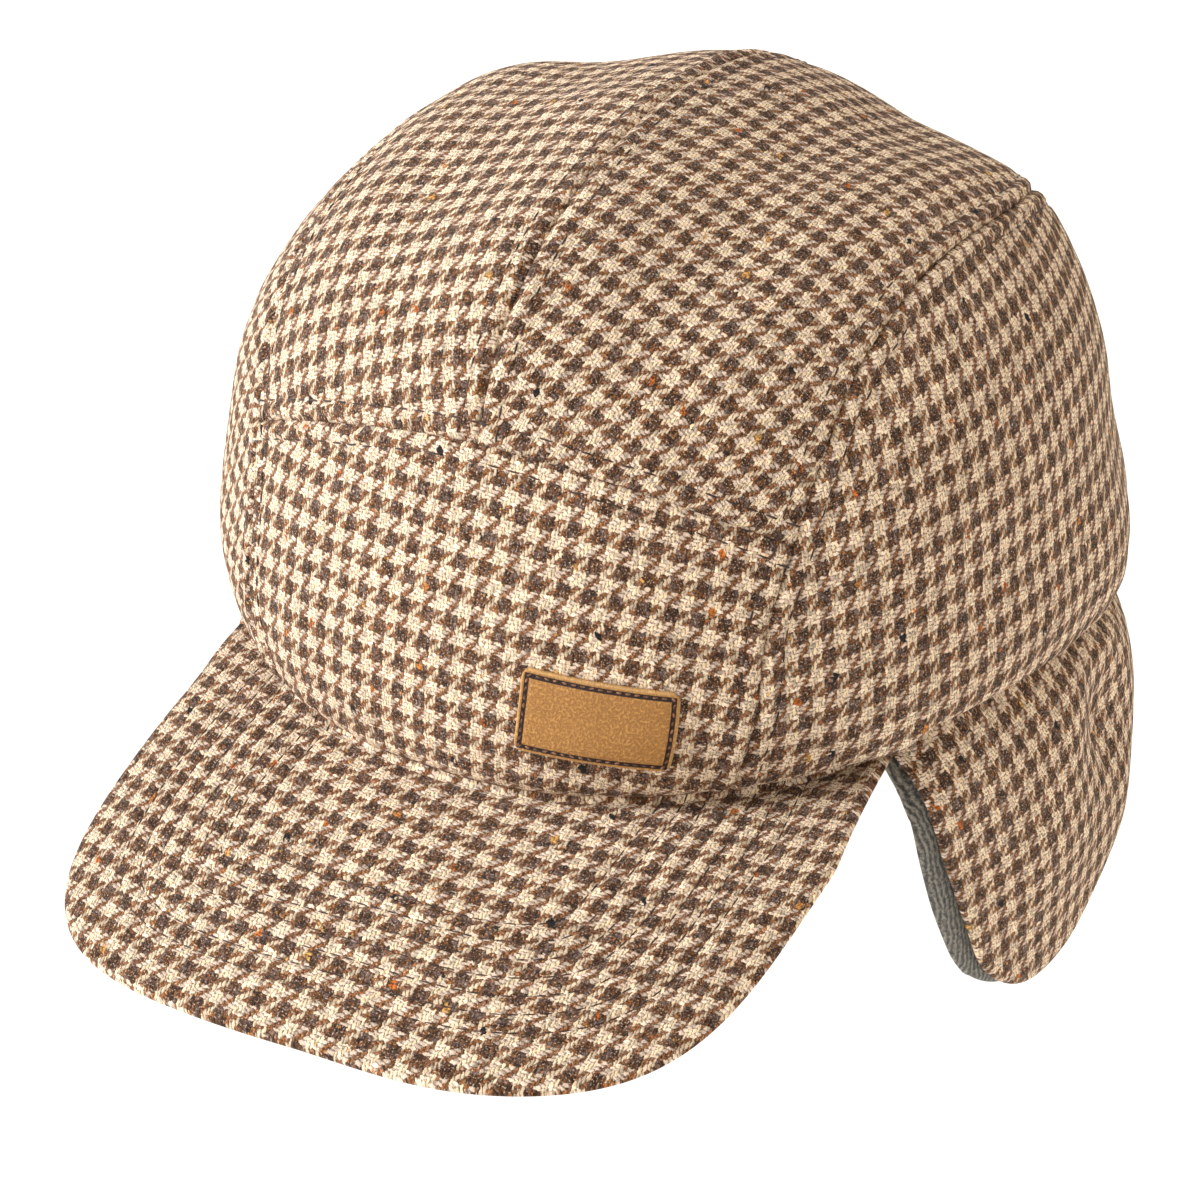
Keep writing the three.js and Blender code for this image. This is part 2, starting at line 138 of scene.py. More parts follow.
def rim_dip(degrees):
    """How low the rim hangs, by bearing in degrees."""
    aside = np.abs(degrees)
    rise = (RISE_FRONT - (RISE_FRONT - RISE_SIDE) * step_between(aside, *RISE_EASES)
            - RISE_SIDE * step_between(aside, *RISE_FADES))
    rise = rise * np.where(degrees > 0, step_between(aside, *RISE_LEFT),
                           step_between(aside, *RISE_RIGHT))
    hang = RIGHT_HANG["deep"] * bump(degrees - RIGHT_HANG["bearing"], RIGHT_HANG["wide"])
    return RIM_DIP * bump(degrees, RIM_DIP_WIDE) + hang - rise


def on_oval(side, front, back, square, bearing):
    s, c = np.sin(bearing), np.cos(bearing)
    reach = (np.abs(s) ** square + np.abs(c) ** square) ** (-1 / square)
    return side * s * reach, -np.where(c > 0, front, back) * c * reach


def crown_point(bearing, level):
    """A place on the crown's outer face, by bearing from the front and level from the rim."""
    height, side, front, back, square = np.moveaxis(
        between(LEVELS, level, [1, -1, -1, -1, 1]), -1, 0)
    x, y = on_oval(side, front, back, square, bearing)
    climb, degrees = level / POLE, np.degrees(bearing)
    low = np.clip(1 - level / 1.5, 0, None)
    z = height - CROWN_LEAN * y * climb ** 2 - rim_dip(degrees) * low ** 2
    upper = step_between(climb, 0.25, 0.65)
    top = np.clip((climb - 0.5) / 0.3, 0, 1)
    flats = TOP_FLATS["deep"] * bump(np.abs(x) - TOP_FLATS["aside"], TOP_FLATS["wide"]) * top
    rise = (TOP_RIDGE["high"] * bump(x, TOP_RIDGE["wide"]) - flats) * upper
    for at, at_level, deep, wide, tall in CROWN_DENTS:
        across = np.radians(degrees - at) * np.hypot(x, y)
        rise = rise - deep * bump(across, wide, (level - at_level) * 15, tall)
    point = np.stack([x, y, z], -1)
    return point + unit(point - [0, 0, CENTRE_HEIGHT]) * rise[..., None]


print("front rim at", crown_point(0.0, 0.0).round(1), "and top at", crown_point(0.0, POLE).round(1))

# %% [markdown]
# ## Seams cut the crown into panels
# The crown is spread on a disc, with the top at its centre and the rim at its edge. Each panel is
# a four-sided patch of that disc between seam curves, so neighbours share the same seam exactly.

# %% Seams and patches
#              bearing level
SIDE_SEAM = np.array([
    [35.8, 0.0], [36.6, 1.5], [38.8, 3.0], [42.2, 3.95], [46.3, 4.73],
    [51.5, 5.32], [59.5, 5.82], [75.0, 6.27], [96.0, 6.31], [116.5, 6.05],
    [134.5, 5.52], [148.5, 4.55], [156.5, 3.2], [160.0, 1.6], [161.5, 0.0],
])
AT_FRONT_PANEL, AT_SHOULDER, AT_BACK_CORNER, SEAM_END = 3, 4, 11, 14
FRONT_FOOT, FRONT_TOP, BACK_FOOT = 35.8, 42.2, 161.5      # bearings of the panels' corners
SEAM_LEVEL = 4.88


def on_disc(bearing, level):
    b, out = np.radians(bearing), POLE - np.asarray(level, float)
    return np.stack([out * np.sin(b), -out * np.cos(b)], -1)


def crown_at(spot):
    x, y = spot[..., 0], spot[..., 1]
    return crown_point(np.arctan2(x, -y), POLE - np.hypot(x, y))


SEAM_ON_DISC = on_disc(SIDE_SEAM[:, 0], SIDE_SEAM[:, 1])
side_seam = lambda place: between(SEAM_ON_DISC, place)
mirrored = lambda spot: spot * [-1, 1]


def front_seam(bearing):
    return on_disc(bearing, SEAM_LEVEL - 0.000533 * bearing ** 2)


def mix(a, b, f):
    return a + (b - a) * f


def patch_of(low, high, left, right):
    """A four-sided patch: low and high run along u, left and right along v."""
    def patch(u, v):
        u, v = np.broadcast_arrays(np.asarray(u, float), np.asarray(v, float))
        a, b = u[..., None], v[..., None]
        edges = low(u) * (1 - b) + high(u) * b + left(v) * (1 - a) + right(v) * a
        zero, one = np.zeros(()), np.ones(())
        corners = (low(zero) * (1 - a) * (1 - b) + low(one) * a * (1 - b)
                   + high(zero) * (1 - a) * b + high(one) * a * b)
        return edges - corners
    return patch


front_patch = patch_of(
    lambda u: on_disc(mix(-FRONT_FOOT, FRONT_FOOT, u), 0 * u),
    lambda u: front_seam(mix(-FRONT_TOP, FRONT_TOP, u)),
    lambda v: mirrored(side_seam(v * AT_FRONT_PANEL)),
    lambda v: side_seam(v * AT_FRONT_PANEL))
top_patch = patch_of(
    lambda u: front_seam(mix(0.0, FRONT_TOP, u)),
    lambda u: on_disc(mix(180.0, BACK_FOOT, u), 0 * u),
    lambda v: np.stack([0 * v, mix(SEAM_LEVEL - POLE, POLE, v)], -1),
    lambda v: side_seam(AT_FRONT_PANEL + v * (SEAM_END - AT_FRONT_PANEL)))
side_patch = patch_of(
    lambda u: on_disc(mix(FRONT_FOOT, BACK_FOOT, u), 0 * u),
    lambda u: side_seam(AT_SHOULDER + u * (AT_BACK_CORNER - AT_SHOULDER)),
    lambda v: side_seam(v * AT_SHOULDER),
    lambda v: side_seam(SEAM_END - v * (SEAM_END - AT_BACK_CORNER)))
print("side seam starts at", crown_at(side_seam(0.0)).round(1), "mm")

# %% [markdown]
# ## Laying each panel flat
# Tweed is cut flat, so its checks only run true on the flat piece. This helper relaxes a coarse
# grid of a curved piece until every cell is as near as it can be to its true shape on the table.
# The result gives the cloth its grain, and the area that it was cut to.

# %% Flatten a grid
def grid(nu, nv):
    return np.meshgrid(np.linspace(0, 1, nu + 1), np.linspace(0, 1, nv + 1))


def resample(values, u, v):
    """A coarse grid's complex values at other places along u and v, smoothly."""
    rows, cols = values.shape
    parts = np.stack([values.real, values.imag], -1)
    parts = between(parts.reshape(rows, -1), v * (rows - 1)).reshape(len(v), cols, 2)
    parts = np.moveaxis(parts, 1, 0).reshape(cols, -1)
    parts = between(parts, u * (cols - 1)).reshape(len(u), len(v), 2)
    return (parts[..., 0] + 1j * parts[..., 1]).T


def evenly(curve, n):
    """Places from 0 to 1 along a curve with the same distance between them."""
    t = np.linspace(0, 1, 2001)
    along = np.linalg.norm(np.diff(curve(t), axis=0), axis=-1).cumsum()
    return np.interp(np.linspace(0, along[-1], n + 1), np.concatenate([[0], along]), t)


def crowd_ends(places, first=True, last=True):
    """Adds places inside the first and last step, closer and closer to the end."""
    near = np.linspace(0, 1, 7)[1:-1] ** 2
    head = places[0] + (places[1] - places[0]) * near
    tail = places[-1] + (places[-2] - places[-1]) * near
    return np.sort(np.concatenate([places, head if first else [], tail if last else []]))


print("steps with crowded ends:", crowd_ends(np.linspace(0, 1, 3)).round(2))


# %% Relax a grid on the table
def lay_flat(points, rounds=60):
    """Flat places in millimetres for a grid of points, as complex numbers."""
    rows, cols = points.shape[:2]
    p = points.reshape(-1, 3)
    k = np.arange(rows * cols).reshape(rows, cols)
    a, b, c, d = k[:-1, :-1].ravel(), k[:-1, 1:].ravel(), k[1:, 1:].ravel(), k[1:, :-1].ravel()
    tri = np.concatenate([np.stack(t, 1) for t in ((a, b, c), (a, c, d), (a, b, d), (b, c, d))])
    e1, e2 = p[tri[:, 1]] - p[tri[:, 0]], p[tri[:, 2]] - p[tri[:, 0]]
    long = np.linalg.norm(e1, axis=1)
    along = (e1 * e2).sum(1) / long
    up = np.linalg.norm(np.cross(e1, e2), axis=1) / long
    local = np.stack([0 * long, long, along + 1j * up], 1)
    pairs = [(0, 1), (1, 2), (2, 0)]
    weight = np.zeros((len(tri), 3))
    for n, (i, j) in enumerate(pairs):
        o = 3 - i - j
        x, y = local[:, i] - local[:, o], local[:, j] - local[:, o]
        weight[:, n] = np.clip((x * y.conj()).real / np.abs((x * y.conj()).imag), 0.02, 20)
    n = len(p)
    lap = np.zeros((n, n))
    for m, (i, j) in enumerate(pairs):
        s, t, w = tri[:, i], tri[:, j], weight[:, m]
        np.add.at(lap, (s, s), w), np.add.at(lap, (t, t), w)
        np.add.at(lap, (s, t), -w), np.add.at(lap, (t, s), -w)
    lap[0, 0] += 1e3
    solve = np.linalg.inv(lap)
    across = np.linalg.norm(np.diff(points, axis=1), axis=2).cumsum(1)
    upward = np.linalg.norm(np.diff(points, axis=0), axis=2).cumsum(0)
    z = (np.pad(across, ((0, 0), (1, 0))) + 1j * np.pad(upward, ((1, 0), (0, 0)))).ravel()
    for _ in range(rounds):
        turn = sum(weight[:, m] * (z[tri[:, i]] - z[tri[:, j]]) * (local[:, i] - local[:, j]).conj()
                   for m, (i, j) in enumerate(pairs))
        turn /= np.abs(turn) + 1e-12
        right = np.zeros(n, complex)
        for m, (i, j) in enumerate(pairs):
            push = weight[:, m] * turn * (local[:, i] - local[:, j])
            np.add.at(right, tri[:, i], push), np.add.at(right, tri[:, j], -push)
        z = solve @ right
    return z.reshape(rows, cols)


def flat_area(z):
    d1, d2 = z[1:, 1:] - z[:-1, :-1], z[:-1, 1:] - z[1:, :-1]
    return float(np.abs((d1 * d2.conj()).imag).sum() / 2)


def cut(z, grain, bow=0.0, skew=0.0, shift=(0, 0)):
    """Turns a flat piece on the cloth that it is cut from."""
    z = z - z.mean()
    z = z * np.exp(1j * np.radians(grain + bow * z.real / 2))
    return z - 1j * skew * z.conj() + shift[0] + 1j * shift[1]


print("front panel flat:", round(flat_area(lay_flat(crown_at(front_patch(*grid(8, 8)))))), "mm2")

# %% [markdown]
# ## From a grid to a sewn piece
# A sewn piece is a closed sheet: an outer face, an inner face two millimetres behind it, and a
# rim. Its edges roll inwards where they are sewn, and the allowance folded behind the seam makes
# a low ridge that the twin topstitching holds down.

# %% Sheets with seams
CLOTH = 2.0
SEAM_GAP = 0.07
TOPSTITCH = 4.0
SEAM_ROLL = dict(deep=0.6, wide=0.7)
ALLOWANCE = dict(high=0.40, rises=(0.3, 1.6), falls=(3.2, 4.4))
THREAD_PULL = dict(deep=0.45, wide=0.7)
dress = {}


def normals_of(points):
    return unit(np.cross(np.gradient(points, axis=1), np.gradient(points, axis=0)))


def nearest(points, line, chunk=4000):
    """How far each point is from a line of points, in millimetres."""
    flat = points.reshape(-1, 3)
    a, d = line[:-1], line[1:] - line[:-1]
    dd = np.maximum((d * d).sum(1), 1e-9)
    out = np.empty(len(flat))
    for s in range(0, len(flat), chunk):
        q = flat[s:s + chunk, None, :] - a
        t = np.clip((q * d).sum(2) / dd, 0, 1)
        out[s:s + chunk] = np.sqrt(((q - d * t[..., None]) ** 2).sum(2).min(1))
    return out.reshape(points.shape[:-1])


def ripple(points, size, seed):
    """A smooth random wave through space, about -1 to 1."""
    rng = np.random.default_rng(seed)
    total = 0
    for _ in range(7):
        way = rng.normal(size=3)
        way *= rng.uniform(0.6, 1.5) * 2 * np.pi / size / np.linalg.norm(way)
        total = total + np.sin(points @ way + rng.uniform(0, 6.28))
    return total / 3.0


def waves(points, *rows):
    """Soft waves of worn cloth. Each row is a height, a length in millimetres and a seed."""
    return sum(high * ripple(points, size, seed) for high, size, seed in rows)


def seam_profile(d):
    """Height of the cloth beside a seam, by distance from it."""
    ridge = step_between(d, *ALLOWANCE["rises"]) * (1 - step_between(d, *ALLOWANCE["falls"]))
    return (ALLOWANCE["high"] * ridge - SEAM_ROLL["deep"] * bump(d, SEAM_ROLL["wide"])
            - THREAD_PULL["deep"] * bump(d - TOPSTITCH, THREAD_PULL["wide"]))


print("cloth beside a seam, 0 to 5 mm from it:", seam_profile(np.arange(6.0)).round(2))


# %% Mesh a closed sheet
def in_scene(name, data):
    """Puts a mesh, lamp or camera in the scene as an object."""
    made = bpy.data.objects.new(name, data)
    bpy.context.scene.collection.objects.link(made)
    return made


def shell_faces(rows, cols, flip):
    """Quads of an outer grid, the inner grid behind it and the rim between them."""
    k = np.arange(rows * cols).reshape(rows, cols)
    outer = np.stack([k[:-1, :-1], k[:-1, 1:], k[1:, 1:], k[1:, :-1]], -1).reshape(-1, 4)
    inner = outer[:, ::-1] + rows * cols
    rim = np.concatenate([k[0, :], k[1:, -1], k[-1, -2::-1], k[-2::-1, 0]])
    a, b = rim[:-1], rim[1:]
    strip = np.stack([b, a, a + rows * cols, b + rows * cols], -1)
    faces = np.concatenate([outer, inner, strip])
    if flip:
        faces = faces[:, ::-1]
    return faces.tolist()


def closed_sheet(name, outer, inner, flat, flip=False):
    """A closed mesh from two faces. Where the faces meet at an edge, they are welded."""
    rows, cols = outer.shape[:2]
    verts = np.concatenate([outer.reshape(-1, 3), inner.reshape(-1, 3)])
    mesh = bpy.data.meshes.new(name)
    mesh.from_pydata((verts * MM).tolist(), [], shell_faces(rows, cols, flip))
    uv = np.tile(np.stack([flat.real, flat.imag], -1).reshape(-1, 2), (2, 1))
    corner = np.empty(len(mesh.loops), int)
    mesh.loops.foreach_get("vertex_index", corner)
    layer = mesh.uv_layers.new(name="cloth")
    layer.data.foreach_set("uv", uv[corner].astype(np.float32).ravel())
    welded = bmesh.new()
    welded.from_mesh(mesh)
    bmesh.ops.remove_doubles(welded, verts=welded.verts, dist=2e-6)
    welded.to_mesh(mesh)
    welded.free()
    mesh.polygons.foreach_set("use_smooth", [True] * len(mesh.polygons))
    return in_scene(name, mesh)


def note_piece(part, piece, **facts):
    """Notes a finished piece under the name of the CAD node that it dresses."""
    dress[part] = dict(piece=piece, **facts)
    print(piece.name, len(piece.data.polygons), "faces")


print("a 2 by 2 shell has", len(shell_faces(2, 2, False)), "faces")


# %% [markdown]
# ## Crown panels
# Five panels make the crown: the front, two halves of the top, and two sides. `grain` is how far
# each was cut off the straight, in degrees, `bow` how much more for each millimetre across, and
# `skew` how far the cloth was pulled on the bias as it was steamed to shape.

# %% Panel table and build
CENTRE_SEAM = crown_at(top_patch(0.0, np.linspace(0, 1, 160)))
LEVEL_SEAM = crown_at(front_patch(np.linspace(0, 1, 120), 1.0))
LEFT_SEAM = crown_at(side_seam(np.linspace(0, SEAM_END, 220)))
RIGHT_SEAM = LEFT_SEAM * [-1, 1, 1]
ALL_SEAMS = [CENTRE_SEAM, LEVEL_SEAM, LEFT_SEAM, RIGHT_SEAM]

#    name           patch      side across along grain bow   skew   shift
PANELS = [
    ("front_panel", front_patch, 1, 118, 68, 8.0, 0.13, 0.0, (0.0, 0.0)),
    ("crown_left", top_patch, 1, 55, 260, 4.0, 0.12, 0.0, (1.0, 2.0)),
    ("crown_right", top_patch, -1, 55, 260, 2.5, 0.0, 0.0, (3.0, 1.0)),
    ("side_left", side_patch, 1, 190, 92, -1.2, 0.0, 0.077, (2.0, 3.0)),
    ("side_right", side_patch, -1, 190, 92, 1.2, 0.0, 0.0, (0.0, 4.0)),
]
FINE = 1.3
HEM_ROLL = dict(high=0.7, inset=4.2, wide=2.4)
HEM_TURN = dict(deep=0.9, wide=1.1)
CROWN_WAVES = (0.35, 46, 3), (0.16, 19, 5)
SMOOTH_BY_SEAM = 9
RIM_LINE = crown_point(np.linspace(-np.pi, np.pi, 361), 0.0)


def build_panel(name, patch, side, across, along, grain, bow, skew, shift):
    side_of = np.array([side, 1.0])
    z = lay_flat(crown_at(patch(*grid(24, 24)) * side_of))
    if side < 0:
        z = -z.conj()
    du, dv = SEAM_GAP / across, SEAM_GAP / along
    u = np.linspace(du, 1 - du, round(across / FINE) + 1)
    v = np.linspace(dv, 1 - dv, round(along / FINE) + 1)
    points = crown_at(patch(u[None, :], v[:, None]) * side_of)
    normals = normals_of(points) * side
    z = resample(z, u, v)
    gap = np.min([nearest(points, line) for line in ALL_SEAMS], axis=0)
    hem = nearest(points, RIM_LINE)
    lift = seam_profile(gap) + waves(points, *CROWN_WAVES) * step_between(gap, 0, SMOOTH_BY_SEAM)
    lift += HEM_ROLL["high"] * bump(hem - HEM_ROLL["inset"], HEM_ROLL["wide"])
    lift -= HEM_TURN["deep"] * bump(hem, HEM_TURN["wide"])
    points = points + normals * lift[..., None]
    flat = cut(z, grain, bow, skew, shift)
    piece = closed_sheet(name + "_cloth", points, points - normals * CLOTH, flat, side < 0)
    note_piece(name, piece, flat=flat, area=flat_area(z))


for row in PANELS:
    build_panel(*row)

# %% [markdown]
# ## Brim
# The brim is a board in a tight cloth cover, curved both ways. Its edge is a superellipse in plan,
# and rows of topstitching follow that edge inwards. Both faces come from one grid: the half
# thickness falls to nothing at the edge, so that the cloth turns round it. The cover is drawn
# tight, so its checks aren't laid flat: the warp runs straight back, and the weft bends.

# %% Brim surface
BRIM = dict(half_width=72.5, reach=71.9, widest_y=-83.0, square_side=2.77, square_front=3.8,
            slope=20.3, arch=0.0021, curl=0.0012, level=-6.2, zero_y=-97.4,
            root_side=80.4, root_front=90.2, root_bearing=60.5, rim_bearing=57.0,
            under_rim=2.3, turned_up=4.5, turn_wide=0.028)
BRIM_LEAN = dict(grows=0.075, starts_y=-80, at_start=2.3)     # towards the wearer's right
BRIM_BULGE = dict(reach=1.9, turn=0.12, wide=0.24)
BRIM_THICK = 3.4
BRIM_ROWS = [12.5 + 4.1 * k for k in range(7)]


def brim_height(x, y):
    ahead = BRIM["zero_y"] - y
    return (BRIM["level"] - math.tan(math.radians(BRIM["slope"])) * ahead
            - BRIM["arch"] * x ** 2 - BRIM["curl"] * ahead ** 2)


def brim_point(u, v):
    """The cover's middle surface: u from the wearer's right to the left, v from root to edge."""
    turn = mix(-1, 1, u)
    bearing = np.radians(turn * BRIM["root_bearing"])
    root_x, root_y = BRIM["root_side"] * np.sin(bearing), -BRIM["root_front"] * np.cos(bearing)
    s, c = np.sin(turn * np.pi / 2), np.cos(turn * np.pi / 2)
    edge_x = BRIM["half_width"] * np.sign(s) * np.abs(s) ** (2 / BRIM["square_side"])
    edge_y = BRIM["widest_y"] - BRIM["reach"] * np.abs(c) ** (2 / BRIM["square_front"])
    edge_y = edge_y - BRIM_BULGE["reach"] * bump(turn - BRIM_BULGE["turn"], BRIM_BULGE["wide"])
    x, y = mix(root_x, edge_x, v), mix(root_y, edge_y, v)
    under_rim = np.clip(np.degrees(bearing), -BRIM["rim_bearing"], BRIM["rim_bearing"])
    root_z = LEVELS[0, 0] - rim_dip(under_rim) - BRIM["under_rim"]
    lift = (root_z - brim_height(root_x, root_y)) * (1 - v) ** 3
    lift = lift + BRIM["turned_up"] * bump(v, BRIM["turn_wide"])
    ahead = np.clip(BRIM_LEAN["starts_y"] - y, 0, None)
    lean = (BRIM_LEAN["grows"] * ahead - BRIM_LEAN["at_start"]) * v
    return np.stack([x - lean, y, brim_height(x, y) + lift], -1)


brim_turn = lambda n: evenly(lambda t: brim_point(t, 1.0), n)
BRIM_OUTLINE = np.concatenate([
    brim_point(0.0, np.linspace(0, 1, 40)),
    brim_point(brim_turn(260), 1.0),
    brim_point(1.0, np.linspace(1, 0, 40))])
print("brim outline:", round(np.linalg.norm(np.diff(BRIM_OUTLINE, axis=0), axis=1).sum()), "mm")

# %% Build the brim
EDGE_ROUND = 2.4
WEFT_STEP, WARP_STEP = 1.055, 0.86      # cloth to each millimetre of the brim's plan
WARP_PULL, WEFT_BEND = 2.4e-5, 347
GROOVE = dict(deep=0.45, wide=0.8)
QUILT, BRIM_WAVES = 0.10, ((0.25, 60, 11), (0.10, 22, 12))


def rounded(edge, radius):
    """Part of the full thickness left this far from an edge that the cloth turns round."""
    return np.sqrt(np.clip(1 - (1 - np.clip(edge / radius, 0, 1)) ** 2, 0, 1))


def cloth_on_brim(points):
    """The cloth is drawn tight over the board: warp straight back, weft bent with the edge."""
    x, y = points[..., 0], points[..., 1]
    across = x * (WARP_STEP + WARP_PULL * x ** 2)
    return across + 1j * (WEFT_STEP * (y + 100) - (x - 15) ** 2 / WEFT_BEND)


def build_brim():
    along = crowd_ends(np.linspace(0, 1, 301))
    u = np.interp(along, np.linspace(0, 1, 2001), brim_turn(2000))
    v = crowd_ends(np.linspace(0, 1, 126), first=False)
    points = brim_point(u[None, :], v[:, None])
    normals = -normals_of(points)
    edge = nearest(points, BRIM_OUTLINE)
    half = rounded(edge, EDGE_ROUND) * BRIM_THICK / 2
    rows = sum(bump(edge - row, GROOVE["wide"]) for row in BRIM_ROWS)
    quilt = QUILT + waves(points, *BRIM_WAVES)
    lift = half - GROOVE["deep"] * rows + quilt * step_between(edge, 1, 9)
    top, under = points + normals * lift[..., None], points - normals * half[..., None]
    piece = closed_sheet("brim_cloth", top, under, cloth_on_brim(points), True)
    note_piece("brim", piece, points=top, edge=edge)


build_brim()

# %% [markdown]
# ## Ear flaps
# One band of cloth hangs from inside the rim, from one temple round the back to the other, and
# is longest over the ears. It is drawn as a patch of bearing and depth, then wrapped round the
# head's oval. Behind it lies a padded wool lining that shows along the front edge. The two halves
# mirror each other, but the wearer's right one is tucked in a little behind the brim's end.

# %% Flap surface
#              depth  out
FLAP_DEPTHS = np.array([
    [-2.5, -8.8], [2.5, -7.0], [8.0, -1.2], [16.0, 2.8], [30.0, 4.2], [46.0, 3.6],
    [62.0, 2.6], [78.0, 1.4]])
#              bearing depth
FLAP_EDGE = np.array([
    [57.7, -2.5], [60.2, 17.0], [62.8, 31.0], [65.8, 44.0], [69.8, 57.5], [77.0, 65.8],
    [86.0, 65.0], [96.0, 57.5], [107.0, 48.5], [122.0, 42.5], [140.0, 40.0], [160.0, 39.0],
    [180.0, 38.5]])
FLAP_FOOT, FLAP_END = 4, 12
#              bearing depth deep wide tall
FLAP_DENTS = [(97, 21, 5.0, 11, 10), (101, 6, -1.6, 14, 7), (102, 42, -1.8, 14, 12),
              (82, 34, -1.6, 12, 16)]
TUCK = dict(at=67, depth=13, wide=22, tall=18)
HEAD_OVAL = np.array([90.5, 97.6, 93.6])      # the head's reach to the side, front and back
HEAD_RADIUS = 90
FOLLOWS_RIM = 25      # the band's top follows the rim's rise, down to this depth


def flap_point(spot, tuck=0.0):
    """A place on the band's outer face, by bearing in degrees and depth below the rim."""
    degrees, depth = spot[..., 0], spot[..., 1]
    row = np.interp(depth, FLAP_DEPTHS[:, 0], np.arange(len(FLAP_DEPTHS)))
    out = between(FLAP_DEPTHS, row)[..., 1]
    tucked = (TUCK["at"], TUCK["depth"], tuck, TUCK["wide"], TUCK["tall"])
    for at, at_depth, deep, wide, tall in FLAP_DENTS + [tucked]:
        across = np.radians(degrees - at) * HEAD_RADIUS
        out = out - deep * bump(across, wide, depth - at_depth, tall)
    x, y = on_oval(*(reach + out for reach in HEAD_OVAL), 2, np.radians(degrees))
    near_rim = np.clip(1 - depth / FOLLOWS_RIM, 0, None)
    return np.stack([x, y, -depth - rim_dip(degrees) * near_rim], -1)


def flap_patch(top, forward=0.0):
    """The left half of the band spread flat. forward carries its front edge on, in degrees."""
    def outline(place):
        row = between(FLAP_EDGE, place)
        bearing = row[..., 0] - forward * bump(np.asarray(place, float) - 2.8, 2.4)
        return np.stack([bearing, np.maximum(row[..., 1], top)], -1)
    front = outline(0.0)[0]
    at = lambda bearing, depth: np.stack(np.broadcast_arrays(bearing, depth), -1)
    return patch_of(
        lambda u: outline(mix(FLAP_FOOT, FLAP_END, u)),
        lambda u: at(mix(front, 180.0, 0.35 * u + 0.65 * u ** 2), top + 0 * u),
        lambda v: outline(mix(FLAP_FOOT, 0, v)),
        lambda v: at(180.0 + 0 * v, mix(FLAP_EDGE[-1, 1], top, v)))


print("front edge of the flap:", flap_point(FLAP_EDGE[:3]).round(1).tolist())

# %% Build the band and its lining
LINING_GAP = 0.8
LINING_TOP, LINING_FORWARD = 2.2, 2.6
LINING_THICK, LINING_EDGE, FULL_AT = 5.5, 2.6, 16
FLAP_WAVES = (0.40, 40, 21), (0.20, 17, 22)
LINING_WAVES = (0.30, 24, 31)
FLAP_ROUND, LINING_ROUND = 1.3, 2.6
FLAP_SHIFT = (1.0, 0.0)
BAND_COLUMNS, BAND_ROWS = 150, 52
RIGHT_TUCK = 5.5      # the wearer's right flap lies closer behind the brim's end


def whole_band(left, right):
    """Adds the wearer's right half, mirrored past the centre back."""
    return np.concatenate([left, right[:, -2::-1] * [-1, 1, 1]], axis=1)


def band_grid(patch):
    """The band's outer face, with its normals, flat shape and distance from its free edge."""
    low = lambda t: flap_point(patch(t, 0.0))
    spread, up = evenly(low, 30), np.linspace(0, 1, 13)
    coarse = flap_point(patch(spread[None, :], up[:, None]))
    z = lay_flat(whole_band(coarse, coarse))
    along = crowd_ends(np.linspace(0, 1, BAND_COLUMNS + 1), last=False)
    u = np.interp(along, np.linspace(0, 1, 2001), evenly(low, 2000))
    v = crowd_ends(np.linspace(0, 1, BAND_ROWS + 1), last=False)
    spots = patch(u[None, :], v[:, None])
    half, other = flap_point(spots), flap_point(spots, RIGHT_TUCK)
    points = whole_band(half, other)
    normals = whole_band(normals_of(half), normals_of(other))
    both = np.concatenate([along / 2, 1 - along[-2::-1] / 2])
    z = resample(z, both, v)
    free = np.concatenate([flap_point(patch(0.0, np.linspace(1, 0, 60))), low(evenly(low, 240))])
    edge = nearest(half, free)
    return points, normals, z, np.concatenate([edge, edge[:, -2::-1]], axis=1)


def build_flap():
    points, normals, z, edge = band_grid(flap_patch(FLAP_EDGE[0, 1]))
    half = rounded(edge, FLAP_ROUND) * CLOTH / 2
    middle = points - normals * CLOTH / 2
    wave = waves(points, *FLAP_WAVES) * step_between(edge, 0, 8)
    top = middle + normals * (half + wave)[..., None]
    flat = cut(z, 0.0, shift=FLAP_SHIFT)
    piece = closed_sheet("earflap_cloth", top, middle - normals * half[..., None], flat)
    note_piece("earflap", piece, flat=flat, area=flat_area(z))


def build_lining():
    points, normals, z, edge = band_grid(flap_patch(LINING_TOP, LINING_FORWARD))
    face = points - normals * (CLOTH + LINING_GAP)
    thick = mix(LINING_EDGE, LINING_THICK, np.sqrt(np.clip(edge / FULL_AT, 0, 1)))
    full = rounded(edge, LINING_ROUND)
    middle = face - normals * (thick / 2)[..., None]
    wave = waves(points, LINING_WAVES) * step_between(edge, 0, 6)
    top = middle + normals * (thick / 2 * full)[..., None]
    under = middle - normals * (thick / 2 * full + wave)[..., None]
    note_piece("earflap_lining", closed_sheet("earflap_lining_wool", top, under, cut(z, 0.0)))


build_flap()
build_lining()

# %% [markdown]
# ## Leather patch
# A small tan patch is sewn low on the front panel. It is a rounded rectangle of thick leather with
# its edge pared down, and a stitched groove runs just inside that edge. Its face is left bare.

# %% Patch
PATCH = dict(bearing=18.3, height=14.6, width=32.4, tall=17.2, turn=-5.5, thick=1.2, corner=2.0,
             groove=1.25, groove_deep=0.34, groove_wide=0.5, pared=0.6, pared_wide=0.8, gap=0.3)
PATCH_WAVES = (0.10, 14, 41)


def patch_point(right, up):
    """A place on the patch's outer face, in millimetres from its middle."""
    turn = math.radians(PATCH["turn"])
    along = right * math.cos(turn) - up * math.sin(turn)
    height = PATCH["height"] + right * math.sin(turn) + up * math.cos(turn)
    bearing = np.radians(PATCH["bearing"]) + along / LEVELS[2, 2]
    level = np.interp(height, LEVELS[:, 0], np.arange(len(LEVELS)))
    outwards = np.stack([np.sin(bearing), -np.cos(bearing), 0 * bearing], -1)
    return crown_point(bearing, level) + outwards * (PATCH["gap"] + PATCH["thick"])


